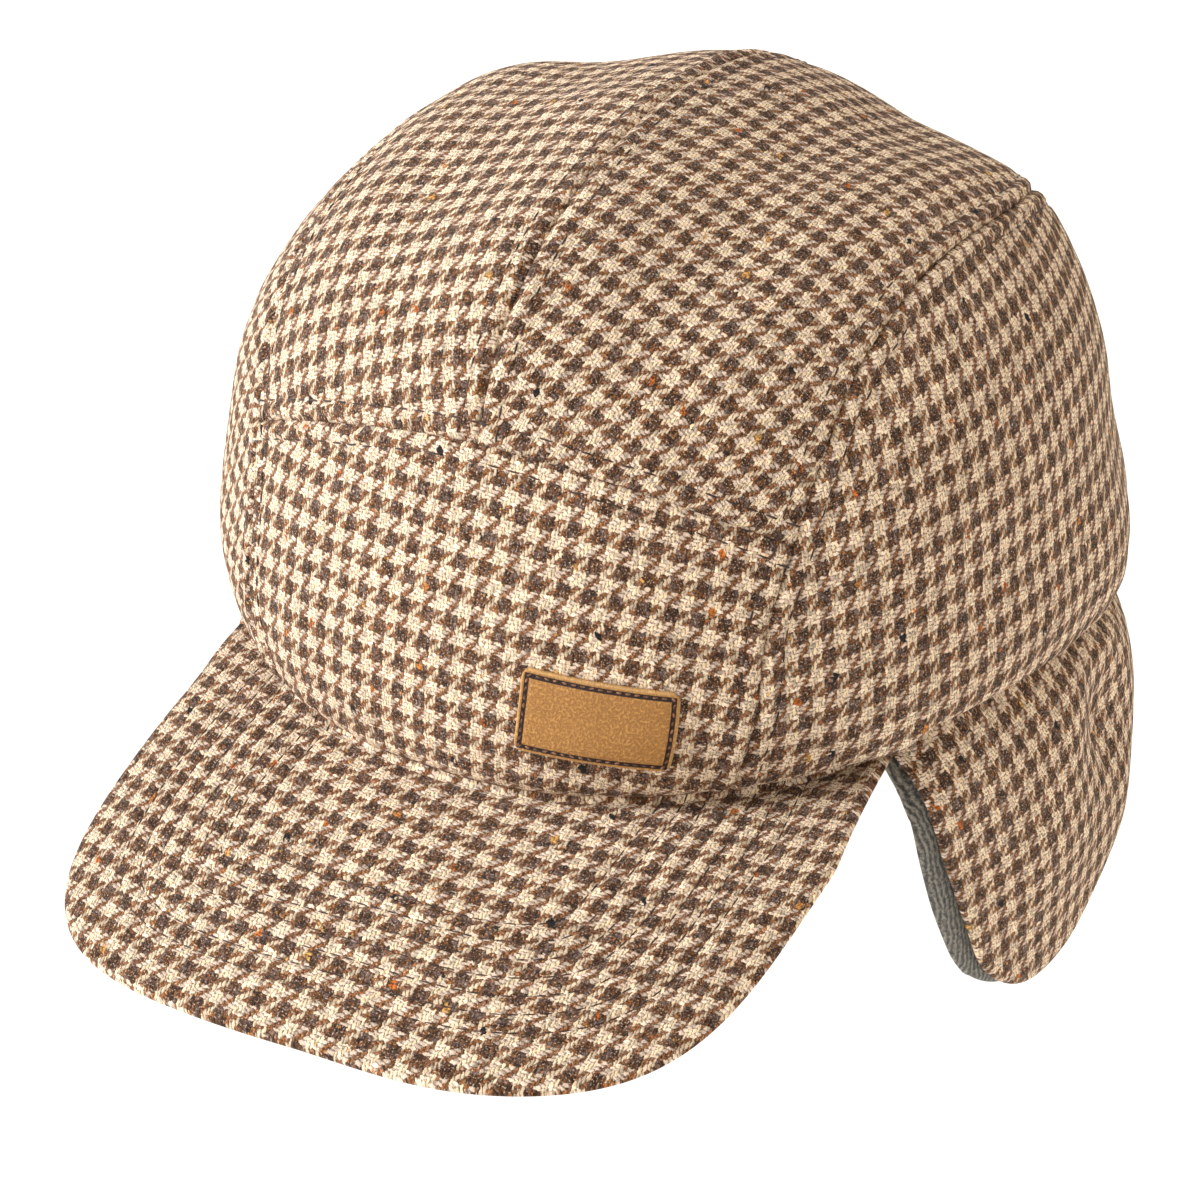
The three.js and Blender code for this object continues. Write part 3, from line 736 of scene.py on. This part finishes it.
def build_patch():
    half_w, half_t, corner = PATCH["width"] / 2, PATCH["tall"] / 2, PATCH["corner"]
    u, v = np.meshgrid(crowd_ends(np.linspace(-1, 1, 71)), crowd_ends(np.linspace(-1, 1, 39)))
    right, up = u * half_w, v * half_t
    inner_w, inner_t = half_w - corner, half_t - corner
    over_r = np.clip(np.abs(right) - inner_w, 0, None)
    over_u = np.clip(np.abs(up) - inner_t, 0, None)
    far = np.hypot(over_r, over_u)
    square = np.maximum(over_r, over_u)
    pull = np.where(far > 0, square / np.maximum(far, 1e-9), 1.0)
    right = np.sign(right) * (np.minimum(np.abs(right), inner_w) + over_r * pull)
    up = np.sign(up) * (np.minimum(np.abs(up), inner_t) + over_u * pull)
    edge = np.minimum(corner - square, np.minimum(half_w - np.abs(right), half_t - np.abs(up)))
    edge = np.where(square > 0, corner - square, edge)
    points = patch_point(right, up)
    normals = normals_of(points)
    swell = waves(points, PATCH_WAVES) * step_between(edge, 0, 4)
    pared = PATCH["pared"] * (1 - rounded(edge, PATCH["pared_wide"]))
    groove = PATCH["groove_deep"] * bump(edge - PATCH["groove"], PATCH["groove_wide"])
    top = points + normals * (swell - pared - groove)[..., None]
    under = points - normals * PATCH["thick"]
    note_piece("leather_patch", closed_sheet("leather_patch_hide", top, under, right + 1j * up))


build_patch()

# %% [markdown]
# ## Sums with shader sockets
# The weave is worked out in shader nodes, and that is mostly arithmetic. A small class lets a
# socket be added and multiplied like a number, so each formula stays readable.

# %% Wires
class Wire:
    """A socket that takes part in sums. Each sum adds one Math node to the tree."""

    def __init__(self, tree, socket):
        self.tree, self.socket = tree, socket

    def math(self, kind, *others):
        node = self.tree.nodes.new("ShaderNodeMath")
        node.operation = kind
        for slot, value in zip(node.inputs, (self, *others)):
            feed(value, slot, self.tree)
        return Wire(self.tree, node.outputs[0])

    __add__ = lambda self, other: self.math("ADD", other)
    __sub__ = lambda self, other: self.math("SUBTRACT", other)
    __mul__ = lambda self, other: self.math("MULTIPLY", other)
    __truediv__ = lambda self, other: self.math("DIVIDE", other)
    __gt__ = lambda self, other: self.math("GREATER_THAN", other)
    __lt__ = lambda self, other: self.math("LESS_THAN", other)
    floor = lambda self: self.math("FLOOR")
    size = lambda self: self.math("ABSOLUTE")
    wrap = lambda self, length: self.math("FLOORED_MODULO", length)
    highest = lambda self, other: self.math("MAXIMUM", other)
    lowest = lambda self, other: self.math("MINIMUM", other)
    also = lambda self, label: Wire(self.tree, self.socket.node.outputs[label])


def feed(value, slot, tree):
    """Links a wire to a node's socket, or sets the socket to a plain value."""
    if isinstance(value, Wire):
        tree.links.new(value.socket, slot)
    else:
        slot.default_value = value


def fill(tree, node, **inputs):
    """Feeds a node's sockets by name."""
    for label, value in inputs.items():
        feed(value, node.inputs[label.replace("_", " ")], tree)


print("a wire can also be:", [part for part in vars(Wire) if not part.startswith("_")])


# %% Nodes for places, noise and mixing
def node_out(tree, kind, output, settings=(), **inputs):
    """Adds a node, sets it up and gives one of its outputs as a wire."""
    node = tree.nodes.new(kind)
    for label, value in dict(settings).items():
        setattr(node, label, value)
    fill(tree, node, **inputs)
    return Wire(tree, node.outputs[output])


def by_slot(tree, kind, slots, output, **settings):
    """The same for a node whose sockets share their names, so they are fed by number."""
    made = node_out(tree, kind, output, settings)
    for slot, value in slots.items():
        feed(value, made.socket.node.inputs[slot], tree)
    return made


def cloth_place(tree):
    """Where on the flat cloth a point lies, in millimetres."""
    return node_out(tree, "ShaderNodeUVMap", 0, dict(uv_map="cloth"))


def pair(tree, x, y):
    return node_out(tree, "ShaderNodeCombineXYZ", 0, X=x, Y=y)


def split(tree, vector):
    x = by_slot(tree, "ShaderNodeSeparateXYZ", {0: vector}, 0)
    return [x, x.also("Y"), x.also("Z")]


def noise(tree, vector, scale, detail=1.0, output="Fac", rough=0.5):
    return node_out(tree, "ShaderNodeTexNoise", output, dict(noise_dimensions="2D"),
                    Vector=vector, Scale=scale, Detail=detail, Roughness=rough)


def blend(tree, factor, a, b):
    """Between two numbers."""
    return by_slot(tree, "ShaderNodeMix", {0: factor, 2: a, 3: b}, 0)


def tint(tree, factor, a, b, how="MIX"):
    """Between two colours."""
    return by_slot(tree, "ShaderNodeMix", {0: factor, 6: a, 7: b}, 2, data_type="RGBA",
                   blend_type=how)


def ease(tree, value, low, high, to_low=0.0, to_high=1.0):
    """A soft step from low to high."""
    slots = dict(enumerate((value, low, high, to_low, to_high)))
    return by_slot(tree, "ShaderNodeMapRange", slots, 0, interpolation_type="SMOOTHSTEP")


def srgb(*values):
    """A colour as it is named on screen, 0 to 255, turned into light."""
    parts = [v / 255 for v in values]
    lit = [c / 12.92 if c <= 0.04045 else ((c + 0.055) / 1.055) ** 2.4 for c in parts]
    return (*lit, 1.0)


print("mid grey as light:", round(srgb(128, 128, 128)[0], 3))


# %% Groups and materials
def new_group(name, inputs, outputs, tree_kind="ShaderNodeTree"):
    """A named group. Gives its tree, its inputs as wires and its end node."""
    tree = bpy.data.node_groups.new(name, tree_kind)
    for label, kind, value in inputs:
        socket = tree.interface.new_socket(label, in_out="INPUT", socket_type="NodeSocket" + kind)
        if value is not None:
            socket.default_value = value
    for label, kind in outputs:
        tree.interface.new_socket(label, in_out="OUTPUT", socket_type="NodeSocket" + kind)
    start, end = tree.nodes.new("NodeGroupInput"), tree.nodes.new("NodeGroupOutput")
    given = {label: Wire(tree, start.outputs[label]) for label, _, _ in inputs}
    return tree, given, end


def use_group(tree, group, **values):
    node = tree.nodes.new("ShaderNodeGroup")
    node.node_tree = group
    fill(tree, node, **values)
    return {out.name: Wire(tree, out) for out in node.outputs}


def new_material(name, **settings):
    """A material with constants set on its own shader. Linked values are added by the caller."""
    material = bpy.data.materials.new(name)
    material.use_nodes = True
    tree = material.node_tree
    shader = tree.nodes["Principled BSDF"]
    fill(tree, shader, **settings)
    return material, tree, shader


def relief(tree, height, distance):
    """The way that a surface with this relief faces. distance is the height of 1, in metres."""
    return node_out(tree, "ShaderNodeBump", "Normal", Distance=distance, Strength=1.0,
                    Height=height)


print("metres to each unit:", bpy.context.scene.unit_settings.scale_length)

# %% [markdown]
# ## Tweed
# Houndstooth is woven, not printed: four light and four dark yarns in turn each way, in a twill
# where every yarn goes over two and under two, one step aside in each row. The group follows that
# rule yarn by yarn on the flat piece's own millimetres, so the broken checks appear by themselves.
# Real wool also wanders, varies in colour and carries coloured flecks spun into the yarn.

# %% Flecks group
def fleck_group():
    """Round specks with torn edges, one to a cell of a loose grid, in rust, straw or black."""
    tree, given, end = new_group("Wool flecks", [
        ("Cloth", "Vector", None), ("Spacing", "Float", 12.0), ("Size", "Float", 0.06),
        ("Black Share", "Float", 0.3), ("Shown", "Float", 0.75),
    ], [("Color", "Color"), ("Mask", "Float")])
    x, y, _ = split(tree, given["Cloth"])
    torn = noise(tree, given["Cloth"], 1.1, 2.0) - 0.5
    spot = pair(tree, x / given["Spacing"] + torn * 0.16,
                y / (given["Spacing"] * 1.5) - torn * 0.12)
    near = node_out(tree, "ShaderNodeTexVoronoi", "Distance", dict(voronoi_dimensions="2D"),
                    Scale=1.0, Vector=spot)
    chance, size_draw, shade = split(tree, near.also("Color"))
    reach = given["Size"] * (size_draw * 0.7 + 0.5)
    mask = ease(tree, near / reach, 0.7, 1.0, 1.0, 0.0) * (chance < given["Shown"])
    black = chance < given["Black Share"]
    warm = tint(tree, ease(tree, shade, 0.35, 0.75), srgb(206, 112, 44), srgb(226, 172, 96))
    fill(tree, end, Color=tint(tree, black, warm, srgb(34, 30, 30)), Mask=mask)
    return tree


FLECKS = fleck_group()
print("group:", FLECKS.name, len(FLECKS.nodes), "nodes")

# %% Tweed group
YARN_WIDE, YARN_TALL = 0.644, 0.744


def tweed_group():
    tree, given, end = new_group("Houndstooth tweed", [
        ("Cloth", "Vector", None),
        ("Yarn Width", "Float", YARN_WIDE), ("Yarn Height", "Float", YARN_TALL),
        ("Light Warp", "Color", srgb(252, 224, 188)), ("Light Weft", "Color", srgb(250, 224, 200)),
        ("Dark", "Color", srgb(66, 43, 29)), ("Dark Warm", "Color", srgb(118, 76, 43)),
        ("Rust", "Color", srgb(166, 108, 62)), ("Lilac", "Color", srgb(140, 120, 114)),
        ("Wander", "Float", 1.0), ("Fuzz", "Float", 1.0),
    ], [("Color", "Color"), ("Height", "Float"), ("Roughness", "Float")])
    cloth, fuzz = given["Cloth"], given["Fuzz"]
    x, y, _ = split(tree, cloth)
    # The yarns wander a little, so places are counted in yarns that aren't quite straight.
    slow = split(tree, noise(tree, cloth, 0.35, 1.0, "Color"))
    quick = split(tree, noise(tree, cloth, 1.5, 3.0, "Color", 0.6))
    x = x / given["Yarn Width"] + ((slow[0] - 0.5) + (quick[0] - 0.5) * 1.5) * given["Wander"]
    y = y / given["Yarn Height"] + ((slow[1] - 0.5) + (quick[1] - 0.5) * 1.5) * given["Wander"]
    # Yarn i of the warp crosses yarn j of the weft, each round, over two and under two.
    i, j = x.floor(), y.floor()
    across_i, across_j = (x - i) * 2 - 1, (y - j) * 2 - 1
    over = (y - i + 1).wrap(4.0) * (math.pi / 2)
    under = (x - j - 2).wrap(4.0) * (math.pi / 2)
    warp = over.math("SINE") * 0.5 - across_i * across_i * 0.7
    weft = under.math("SINE") * 0.5 - across_j * across_j * 0.7
    shown = warp > weft
    height = warp.highest(weft)
    # Four light and four dark yarns in turn, mottled along their length.
    dark_warp, dark_weft = i.wrap(8.0) > 3.5, j.wrap(8.0) > 3.5
    yarn = blend(tree, shown, j * 3.7 + 51.3, i * 5.3)
    along = blend(tree, shown, x, y)
    mottle = split(tree, noise(tree, pair(tree, yarn, along * 0.45), 1.0, 2.0, "Color"))
    fibres = noise(tree, cloth, 2.3, 3.0, rough=0.7)
    glint = noise(tree, cloth, 2.4, 1.0)
    pale = tint(tree, shown, given["Light Weft"], given["Light Warp"])
    dark = tint(tree, ease(tree, mottle[0], 0.40, 0.66), given["Dark"], given["Dark Warm"])
    grey = noise(tree, cloth, 0.55, 3.0, rough=0.7)
    dark = tint(tree, ease(tree, grey, 0.48, 0.66, 0.0, 0.60), dark, given["Lilac"])
    # Fibres of the yarn below show through the one on top.
    top_dark = blend(tree, shown, dark_weft, dark_warp)
    under_dark = blend(tree, shown, dark_warp, dark_weft)
    pale_over_dark = (top_dark * -1 + 1) * under_dark
    dark_over_pale = (under_dark * -1 + 1) * top_dark
    tone = tint(tree, top_dark, pale, dark)
    spread = ease(tree, fibres, 0.34, 0.66, 0.20, 1.40) * fuzz
    tone = tint(tree, dark_over_pale * spread * 0.62, tone, given["Rust"])
    tone = tint(tree, pale_over_dark * spread * 0.40, tone, given["Lilac"])
    shine = ease(tree, glint, 0.58, 0.76, 0.0, 0.5) * fuzz
    tone = tint(tree, shine, tone, given["Light Weft"])
    large = use_group(tree, FLECKS, Cloth=cloth, Spacing=13.0, Size=0.056)
    small = use_group(tree, FLECKS, Cloth=cloth, Spacing=3.0, Size=0.08, Black_Share=0.1,
                      Shown=0.6)
    tone = tint(tree, small["Mask"] * 0.7, tone, small["Color"])
    tone = tint(tree, large["Mask"], tone, large["Color"])
    # Painted shade darkens the gaps between yarns, and each yarn's tone also varies at random.
    depth = ease(tree, height, -0.45, 0.25, 0.22, 1.14)
    light = depth * ((mottle[1] - 0.5) * 1.7 + 1) * ((fibres - 0.5) * 1.5 * fuzz + 1)
    shade = node_out(tree, "ShaderNodeCombineColor", 0, Red=light, Green=light, Blue=light)
    fill(tree, end, Color=tint(tree, 1.0, tone, shade, "MULTIPLY"),
         Height=height * 0.7 + fibres * 1.3 * fuzz + large["Mask"] * 0.25,
         Roughness=blend(tree, fibres, 0.85, 1.0))
    return tree


TWEED_GROUP = tweed_group()


def tweed_material():
    material, tree, shader = new_material("houndstooth tweed", Sheen_Weight=0.06,
                                          Sheen_Roughness=0.5, Specular_IOR_Level=0.15)
    made = use_group(tree, TWEED_GROUP, Cloth=cloth_place(tree))
    fill(tree, shader, Base_Color=made["Color"], Roughness=made["Roughness"],
         Normal=relief(tree, made["Height"], 0.00045))
    return material


TWEED = tweed_material()
CROWN_PARTS = ("front_panel", "crown_left", "crown_right", "side_left", "side_right")
for part in (*CROWN_PARTS, "brim", "earflap"):
    dress[part]["piece"].data.materials.append(TWEED)
print("group:", TWEED_GROUP.name, len(TWEED_GROUP.nodes), "nodes")

# %% [markdown]
# ## Wool lining, leather and thread
# The lining is a grey knitted fleece with ribs along the flap's front edge, coloured darker in its
# low places as painted shade. The leather is tan, with a fine pebbled grain, paler on its pared
# edge, with painted shade darkening its groove. The thread is dark brown and lightly waxed.

# %% Lining, leather and thread
RIB_WIDE = 1.15


def lining_material():
    material, tree, shader = new_material("grey wool fleece", Roughness=1.0, Sheen_Weight=0.35,
                                          Sheen_Roughness=0.6, Specular_IOR_Level=0.2)
    cloth = cloth_place(tree)
    x, y, _ = split(tree, cloth)
    drift = noise(tree, cloth, 0.12, 1.0)
    tufts = noise(tree, pair(tree, x, y * 0.45), 1.9, 4.0, rough=0.75)
    rib = ((x + drift * 3.0) * (2 * math.pi / RIB_WIDE)).math("SINE")
    height = rib * 0.16 + tufts * 1.6
    # Painted shade: the fleece is coloured near black where its relief is low, between tufts and
    # ribs, and pale on top.
    pale = ease(tree, height, 0.56, 1.14)
    fill(tree, shader, Base_Color=tint(tree, pale, srgb(30, 28, 25), srgb(172, 166, 152)),
         Normal=relief(tree, height, 0.0007))
    return material


def leather_material():
    material, tree, shader = new_material("tan leather", Specular_IOR_Level=0.4)
    cloth = cloth_place(tree)
    x, y, _ = split(tree, cloth)
    edge = (x.size() * -1 + PATCH["width"] / 2).lowest(y.size() * -1 + PATCH["tall"] / 2)
    # Painted shade: the colour turns dark brown along the stitched groove.
    groove_shade = ease(tree, (edge - PATCH["groove"]).size(), 0.44, 0.58, 1.0, 0.0)
    grain = ease(tree, noise(tree, cloth, 1.7, 3.0, rough=0.7), 0.34, 0.66)
    cloudy = noise(tree, cloth, 0.28, 2.0)
    colour = tint(tree, grain, srgb(154, 104, 48), srgb(202, 150, 82))
    colour = tint(tree, cloudy * 0.4, colour, srgb(180, 122, 62))
    colour = tint(tree, ease(tree, edge, 0.1, 0.7, 0.5, 0.0), colour, srgb(232, 188, 128))
    fill(tree, shader, Base_Color=tint(tree, groove_shade, colour, srgb(44, 22, 14)),
         Roughness=blend(tree, grain, 0.48, 0.72), Normal=relief(tree, grain, 0.00022))
    return material


def thread_material(name, deep, pale):
    material, tree, shader = new_material(name, Roughness=0.7, Sheen_Weight=0.2,
                                          Specular_IOR_Level=0.4)
    place = node_out(tree, "ShaderNodeTexCoord", "Object")
    shade = node_out(tree, "ShaderNodeTexNoise", "Fac", Vector=place, Scale=900.0, Detail=2.0)
    fill(tree, shader, Base_Color=tint(tree, ease(tree, shade, 0.35, 0.7), deep, pale),
         Normal=relief(tree, shade, 0.0001))
    return material


LINING, LEATHER = lining_material(), leather_material()
THREAD = thread_material("brown thread", srgb(34, 18, 12), srgb(78, 48, 34))
WAXED = thread_material("waxed thread", srgb(70, 42, 28), srgb(150, 104, 74))
dress["earflap_lining"]["piece"].data.materials.append(LINING)
dress["leather_patch"]["piece"].data.materials.append(LEATHER)
print("materials:", [m.name for m in (TWEED, LINING, LEATHER, THREAD, WAXED)])

# %% [markdown]
# ## Stitches
# Every seam is topstitched on both sides, and seven rows of stitches quilt the brim. A stitch is
# one low arch of thread that dips into the cloth at both ends. Python finds the paths on the
# finished cloth, and one Geometry Nodes tree lays a stitch at each step along them.

# %% Paths on the cloth
def skin_of(*names):
    """The outer surfaces of some pieces, ready for nearest-place questions."""
    verts, faces = [], []
    for name in names:
        mesh = dress[name]["piece"].data
        faces += [[i + len(verts) for i in face.vertices] for face in mesh.polygons]
        verts += [v.co / MM for v in mesh.vertices]
    return BVHTree.FromPolygons(verts, faces)


crown_skin, brim_skin, patch_skin = skin_of(*CROWN_PARTS), skin_of("brim"), skin_of("leather_patch")


def settle(points, skin, reach=3.0):
    """Puts each point on the surface. Gives places, normals and which points landed near."""
    places, outs, landed = [], [], []
    for point in points:
        place, out, _, far = skin.find_nearest(Vector(point))
        places.append(place), outs.append(out), landed.append(far < reach)
    return np.array(places), np.array(outs), np.array(landed)


off_edge = brim_skin.find_nearest(Vector(BRIM_OUTLINE[170]))[3]
print("the brim's cover ends", round(off_edge, 2), "mm from its drawn edge")

# %% Rows along the crown's seams
CLEAR_OF_SEAMS = 1.5


def crown_rows():
    """Twin rows beside each seam, left out where they would cross another one."""
    for line in ALL_SEAMS:
        aside = unit(np.cross(np.gradient(line, axis=0), unit(line - [0, 0, CENTRE_HEIGHT])))
        others = [seam for seam in ALL_SEAMS if seam is not line]
        for offset in (-TOPSTITCH, TOPSTITCH):
            row = line + aside * offset
            clear = np.min([nearest(row, seam) for seam in others], axis=0) > CLEAR_OF_SEAMS
            places, outs, landed = settle(row, crown_skin)
            yield places, outs, landed & clear


print("seams to topstitch:", len(ALL_SEAMS))

# %% Rows round the brim
ROWS_TURN_ABOUT_Y = -60
ROW_STEP = 1.5


def brim_rows():
    """Lines on the brim's cover that stay one distance from its edge, for each row."""
    points, edge = dress["brim"]["points"], dress["brim"]["edge"]
    cover = np.concatenate([points, -normals_of(points)], axis=-1)
    for inset in BRIM_ROWS:
        found = []
        for off, lines in ((edge - inset, cover), (edge.T - inset, cover.swapaxes(0, 1))):
            crossed = off[:-1] * off[1:] < 0
            part = (off[:-1] / (off[:-1] - off[1:] + 1e-12))[crossed][:, None]
            found.append(mix(lines[:-1][crossed], lines[1:][crossed], part))
        found = np.concatenate(found)
        found = found[np.argsort(np.arctan2(found[:, 0], ROWS_TURN_ABOUT_Y - found[:, 1]))]
        run = np.append(0, np.cumsum(np.linalg.norm(np.diff(found[:, :3], axis=0), axis=1)))
        even = np.arange(0, run[-1], ROW_STEP)
        row = np.stack([np.interp(even, run, column) for column in found.T], -1)
        yield row[:, :3], row[:, 3:], np.full(len(row), True)


print("rows on the brim:", len(BRIM_ROWS))


# %% Row round the patch, and rows as a mesh
def patch_row():
    half_w, half_t = PATCH["width"] / 2 - PATCH["groove"], PATCH["tall"] / 2 - PATCH["groove"]
    corners = np.array([[-1, -1], [1, -1], [1, 1], [-1, 1], [-1, -1]]) * [half_w, half_t]
    side = np.linspace(0, 1, 25)[:, None]
    loop = np.concatenate([mix(a, b, side)[:-1] for a, b in zip(corners, corners[1:])])
    loop = np.concatenate([loop, loop[:1]])
    places, outs, _ = settle(patch_point(loop[:, 0], loop[:, 1]), patch_skin)
    yield places, outs, np.full(len(loop), True)


def path_object(name, rows):
    verts, outs, edges = [], [], []
    for places, out, sewn in rows:
        run = np.arange(len(places)) + len(verts)
        edges += [(a, b) for a, b, ok in zip(run, run[1:], sewn[1:] & sewn[:-1]) if ok]
        verts += list(places * MM)
        outs += list(out)
    mesh = bpy.data.meshes.new(name)
    mesh.from_pydata(verts, edges, [])
    mesh.attributes.new("out", "FLOAT_VECTOR", "POINT").data.foreach_set(
        "vector", np.array(outs, np.float32).ravel())
    return in_scene(name, mesh)


patch_seam = 2 * (PATCH["width"] + PATCH["tall"] - 4 * PATCH["groove"])
print("stitched round the patch:", round(patch_seam, 1), "mm")


# %% The stitching tree
def stitch_tree():
    tree, given, end = new_group("Row of stitches", [
        ("Geometry", "Geometry", None), ("Stitch", "Float", 0.003), ("Gap", "Float", 0.001),
        ("Thread Radius", "Float", 0.0002), ("Rise", "Float", 0.0003),
        ("Crooked", "Float", 0.06), ("Seed", "Int", 7), ("Thread", "Material", None),
    ], [("Geometry", "Geometry")], "GeometryNodeTree")

    def lay(kind, settings=(), **inputs):
        return node_out(tree, kind, 0, settings, **inputs)

    def spot(x, z):
        return lay("ShaderNodeCombineXYZ", X=x, Z=z)

    # Steps along each line, turned along it and upright on the cloth
    line = lay("GeometryNodeMeshToCurve", Mesh=given["Geometry"])
    steps = lay("GeometryNodeCurveToPoints", dict(mode="LENGTH"), Curve=line,
                Length=given["Stitch"] + given["Gap"])
    out = lay("GeometryNodeInputNamedAttribute", dict(data_type="FLOAT_VECTOR"), Name="out")
    along = lay("FunctionNodeAlignRotationToVector", dict(axis="X"),
                Vector=steps.also("Tangent"))
    upright = lay("FunctionNodeAlignRotationToVector", dict(axis="Z", pivot_axis="X"),
                  Rotation=along, Vector=out)
    # One stitch: an arch of round thread
    half, sunk = given["Stitch"] * 0.5, given["Thread Radius"] * -1.6
    arch = lay("GeometryNodeCurveQuadraticBezier", Resolution=5, Start=spot(half * -1.0, sunk),
               Middle=spot(0.0, given["Rise"] + given["Rise"]), End=spot(half, sunk))
    ring = lay("GeometryNodeCurvePrimitiveCircle", Resolution=6, Radius=given["Thread Radius"])
    strand = lay("GeometryNodeCurveToMesh", Curve=arch, Profile_Curve=ring, Fill_Caps=True)
    # A stitch at each step, a little crooked
    laid = lay("GeometryNodeInstanceOnPoints", Points=steps, Instance=strand, Rotation=upright)
    chance = by_slot(tree, "FunctionNodeRandomValue",
                     {2: given["Crooked"] * -1.0, 3: given["Crooked"], "Seed": given["Seed"]}, 1)
    turned = lay("GeometryNodeRotateInstances", Instances=laid,
                 Rotation=lay("ShaderNodeCombineXYZ", Z=chance))
    real = lay("GeometryNodeRealizeInstances", Geometry=turned)
    smooth = lay("GeometryNodeSetShadeSmooth", Geometry=real)
    fill(tree, end, Geometry=lay("GeometryNodeSetMaterial", Geometry=smooth,
                                 Material=given["Thread"]))
    return tree


STITCHES = stitch_tree()
print("group:", STITCHES.name, len(STITCHES.nodes), "nodes")


# %% Sew
def sew(name, rows, material, **sizes):
    """Lays stitches along rows and gives them back as one plain mesh."""
    path = path_object(name + "_path", rows)
    made = path.modifiers.new("stitches", "NODES")
    made.node_group = STITCHES
    sockets = {item.name: item.identifier for item in STITCHES.interface.items_tree
               if item.in_out == "INPUT"}
    made[sockets["Thread"]] = material
    for label, value in sizes.items():
        made[sockets[label.replace("_", " ")]] = value
    shown = path.evaluated_get(bpy.context.evaluated_depsgraph_get())
    mesh = bpy.data.meshes.new_from_object(shown)
    mesh.name = name
    bpy.data.objects.remove(path)
    return in_scene(name, mesh)


SEWN = [
    sew("crown_topstitching", crown_rows(), THREAD, Stitch=0.0030, Gap=0.0011,
        Thread_Radius=0.00021, Rise=0.00022),
    sew("brim_stitching", brim_rows(), THREAD, Stitch=0.0030, Gap=0.0002,
        Thread_Radius=0.00017, Rise=0.00016, Crooked=0.03, Seed=11),
    sew("patch_stitching", patch_row(), WAXED, Stitch=0.00110, Gap=0.00062,
        Thread_Radius=0.00024, Rise=0.00020, Crooked=0.35, Seed=13),
]
for piece in SEWN:
    print(piece.name, len(piece.data.polygons), "faces")

# %% [markdown]
# ## What each piece is
# Each new piece is hung on the body that carries it, and the solid that it stands for is hidden. A
# cap has no joints, so one body carries all of it. The crown's panels are sheets held in shape by
# their seams, the ear band hangs free, and the lining is a thin pad.

# %% Ride, replace and print cut sizes
SLOTS = {"earflap_lining": "wool_lining", "leather_patch": "leather"}
for name, made in dress.items():
    piece = made["piece"]
    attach(piece, "root")
    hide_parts(name)
    SLOTS.get(name, "tweed")
for piece in SEWN:
    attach(piece, "root")


def declare_sheet(name):
    flat, area = dress[name]["flat"], dress[name]["area"]
    size = (float(np.ptp(flat.real)) * MM, float(np.ptp(flat.imag)) * MM)
    print(name, "cut from", [round(side * 1000) for side in size], "mm,",
          round(area / 100), "cm2")


for name in CROWN_PARTS:
    declare_sheet(name)
declare_sheet("earflap")

# %% [markdown]
# ## Studio
# The cap is held up with its flaps hanging, so the floor lies well below it. Two soft cool suns
# light it from the wearer's right, one low and one high. Two weak warm suns and a dim warm sky
# fill the far side and the back. Relief in cloth needs light from one side: under an even sky the
# weave looks printed.

# %% Floor
FLOOR_HALF, FLOOR_LEVEL = 12.0, -0.9


def floor():
    corners = [(-1, -1), (1, -1), (1, 1), (-1, 1)]
    mesh = bpy.data.meshes.new("floor")
    mesh.from_pydata([(x * FLOOR_HALF, y * FLOOR_HALF, FLOOR_LEVEL) for x, y in corners], [],
                     [(0, 1, 2, 3)])
    material, tree, shader = new_material("pale floor", Roughness=0.9)
    place = node_out(tree, "ShaderNodeTexCoord", "Object")
    cloudy = node_out(tree, "ShaderNodeTexNoise", "Fac", Vector=place, Scale=2.0)
    fill(tree, shader,
         Base_Color=tint(tree, cloudy, (0.93, 0.93, 0.93, 1), (0.96, 0.96, 0.96, 1)))
    mesh.materials.append(material)
    return in_scene("floor", mesh)


floor()
print("floor at", FLOOR_LEVEL, "m")


# %% Lights
def way_to(bearing, height):
    """The way to a place round the cap, by bearing from the front and height, in degrees."""
    turn, rise = math.radians(bearing), math.radians(height)
    return Vector((math.sin(turn) * math.cos(rise), -math.cos(turn) * math.cos(rise),
                   math.sin(rise)))


#    name      bearing height strength soft colour
SUNS = [
    ("low key", -66, 10, 3.3, 20, (0.97, 0.99, 1.0)),
    ("high key", -42, 46, 2.4, 16, (0.97, 0.99, 1.0)),
    ("low fill", 36, 4, 0.8, 30, (1.0, 0.90, 0.76)),
    ("back light", 140, 14, 0.75, 24, (1.0, 0.88, 0.70)),
]
for name, bearing, height, strength, softness, colour in SUNS:
    data = bpy.data.lights.new(name, "SUN")
    data.energy, data.angle, data.color = strength, math.radians(softness), colour
    in_scene(name, data).rotation_euler = way_to(bearing, height).to_track_quat("Z", "Y").to_euler()
world = bpy.data.worlds.new("studio")
bpy.context.scene.world = world
world.use_nodes = True
fill(world.node_tree, world.node_tree.nodes["Background"], Color=(1.0, 0.93, 0.83, 1),
     Strength=0.56)
bpy.context.scene.view_settings.view_transform = "Standard"
print("suns:", [row[0] for row in SUNS])

# %% Camera
CAMERA = dict(bearing=26.8, height=28.2, roll=0.24, away=1.2, lens=173.8, sensor=36)
AIM = Vector((-0.01396, -0.00706, -0.01064))


def camera():
    back, roll = way_to(CAMERA["bearing"], CAMERA["height"]), math.radians(CAMERA["roll"])
    right = way_to(CAMERA["bearing"] + 90, 0)
    up = back.cross(right)
    tilted_right = right * math.cos(roll) + up * math.sin(roll)
    tilted_up = up * math.cos(roll) - right * math.sin(roll)
    data = bpy.data.cameras.new("camera")
    data.lens, data.sensor_width = CAMERA["lens"], CAMERA["sensor"]
    turned = Matrix((tilted_right, tilted_up, back)).transposed().to_4x4()
    turned.translation = AIM + back * CAMERA["away"]
    made = in_scene("camera", data)
    made.matrix_world = turned
    bpy.context.scene.camera = made


camera()
print("camera", CAMERA["away"], "m from its aim")
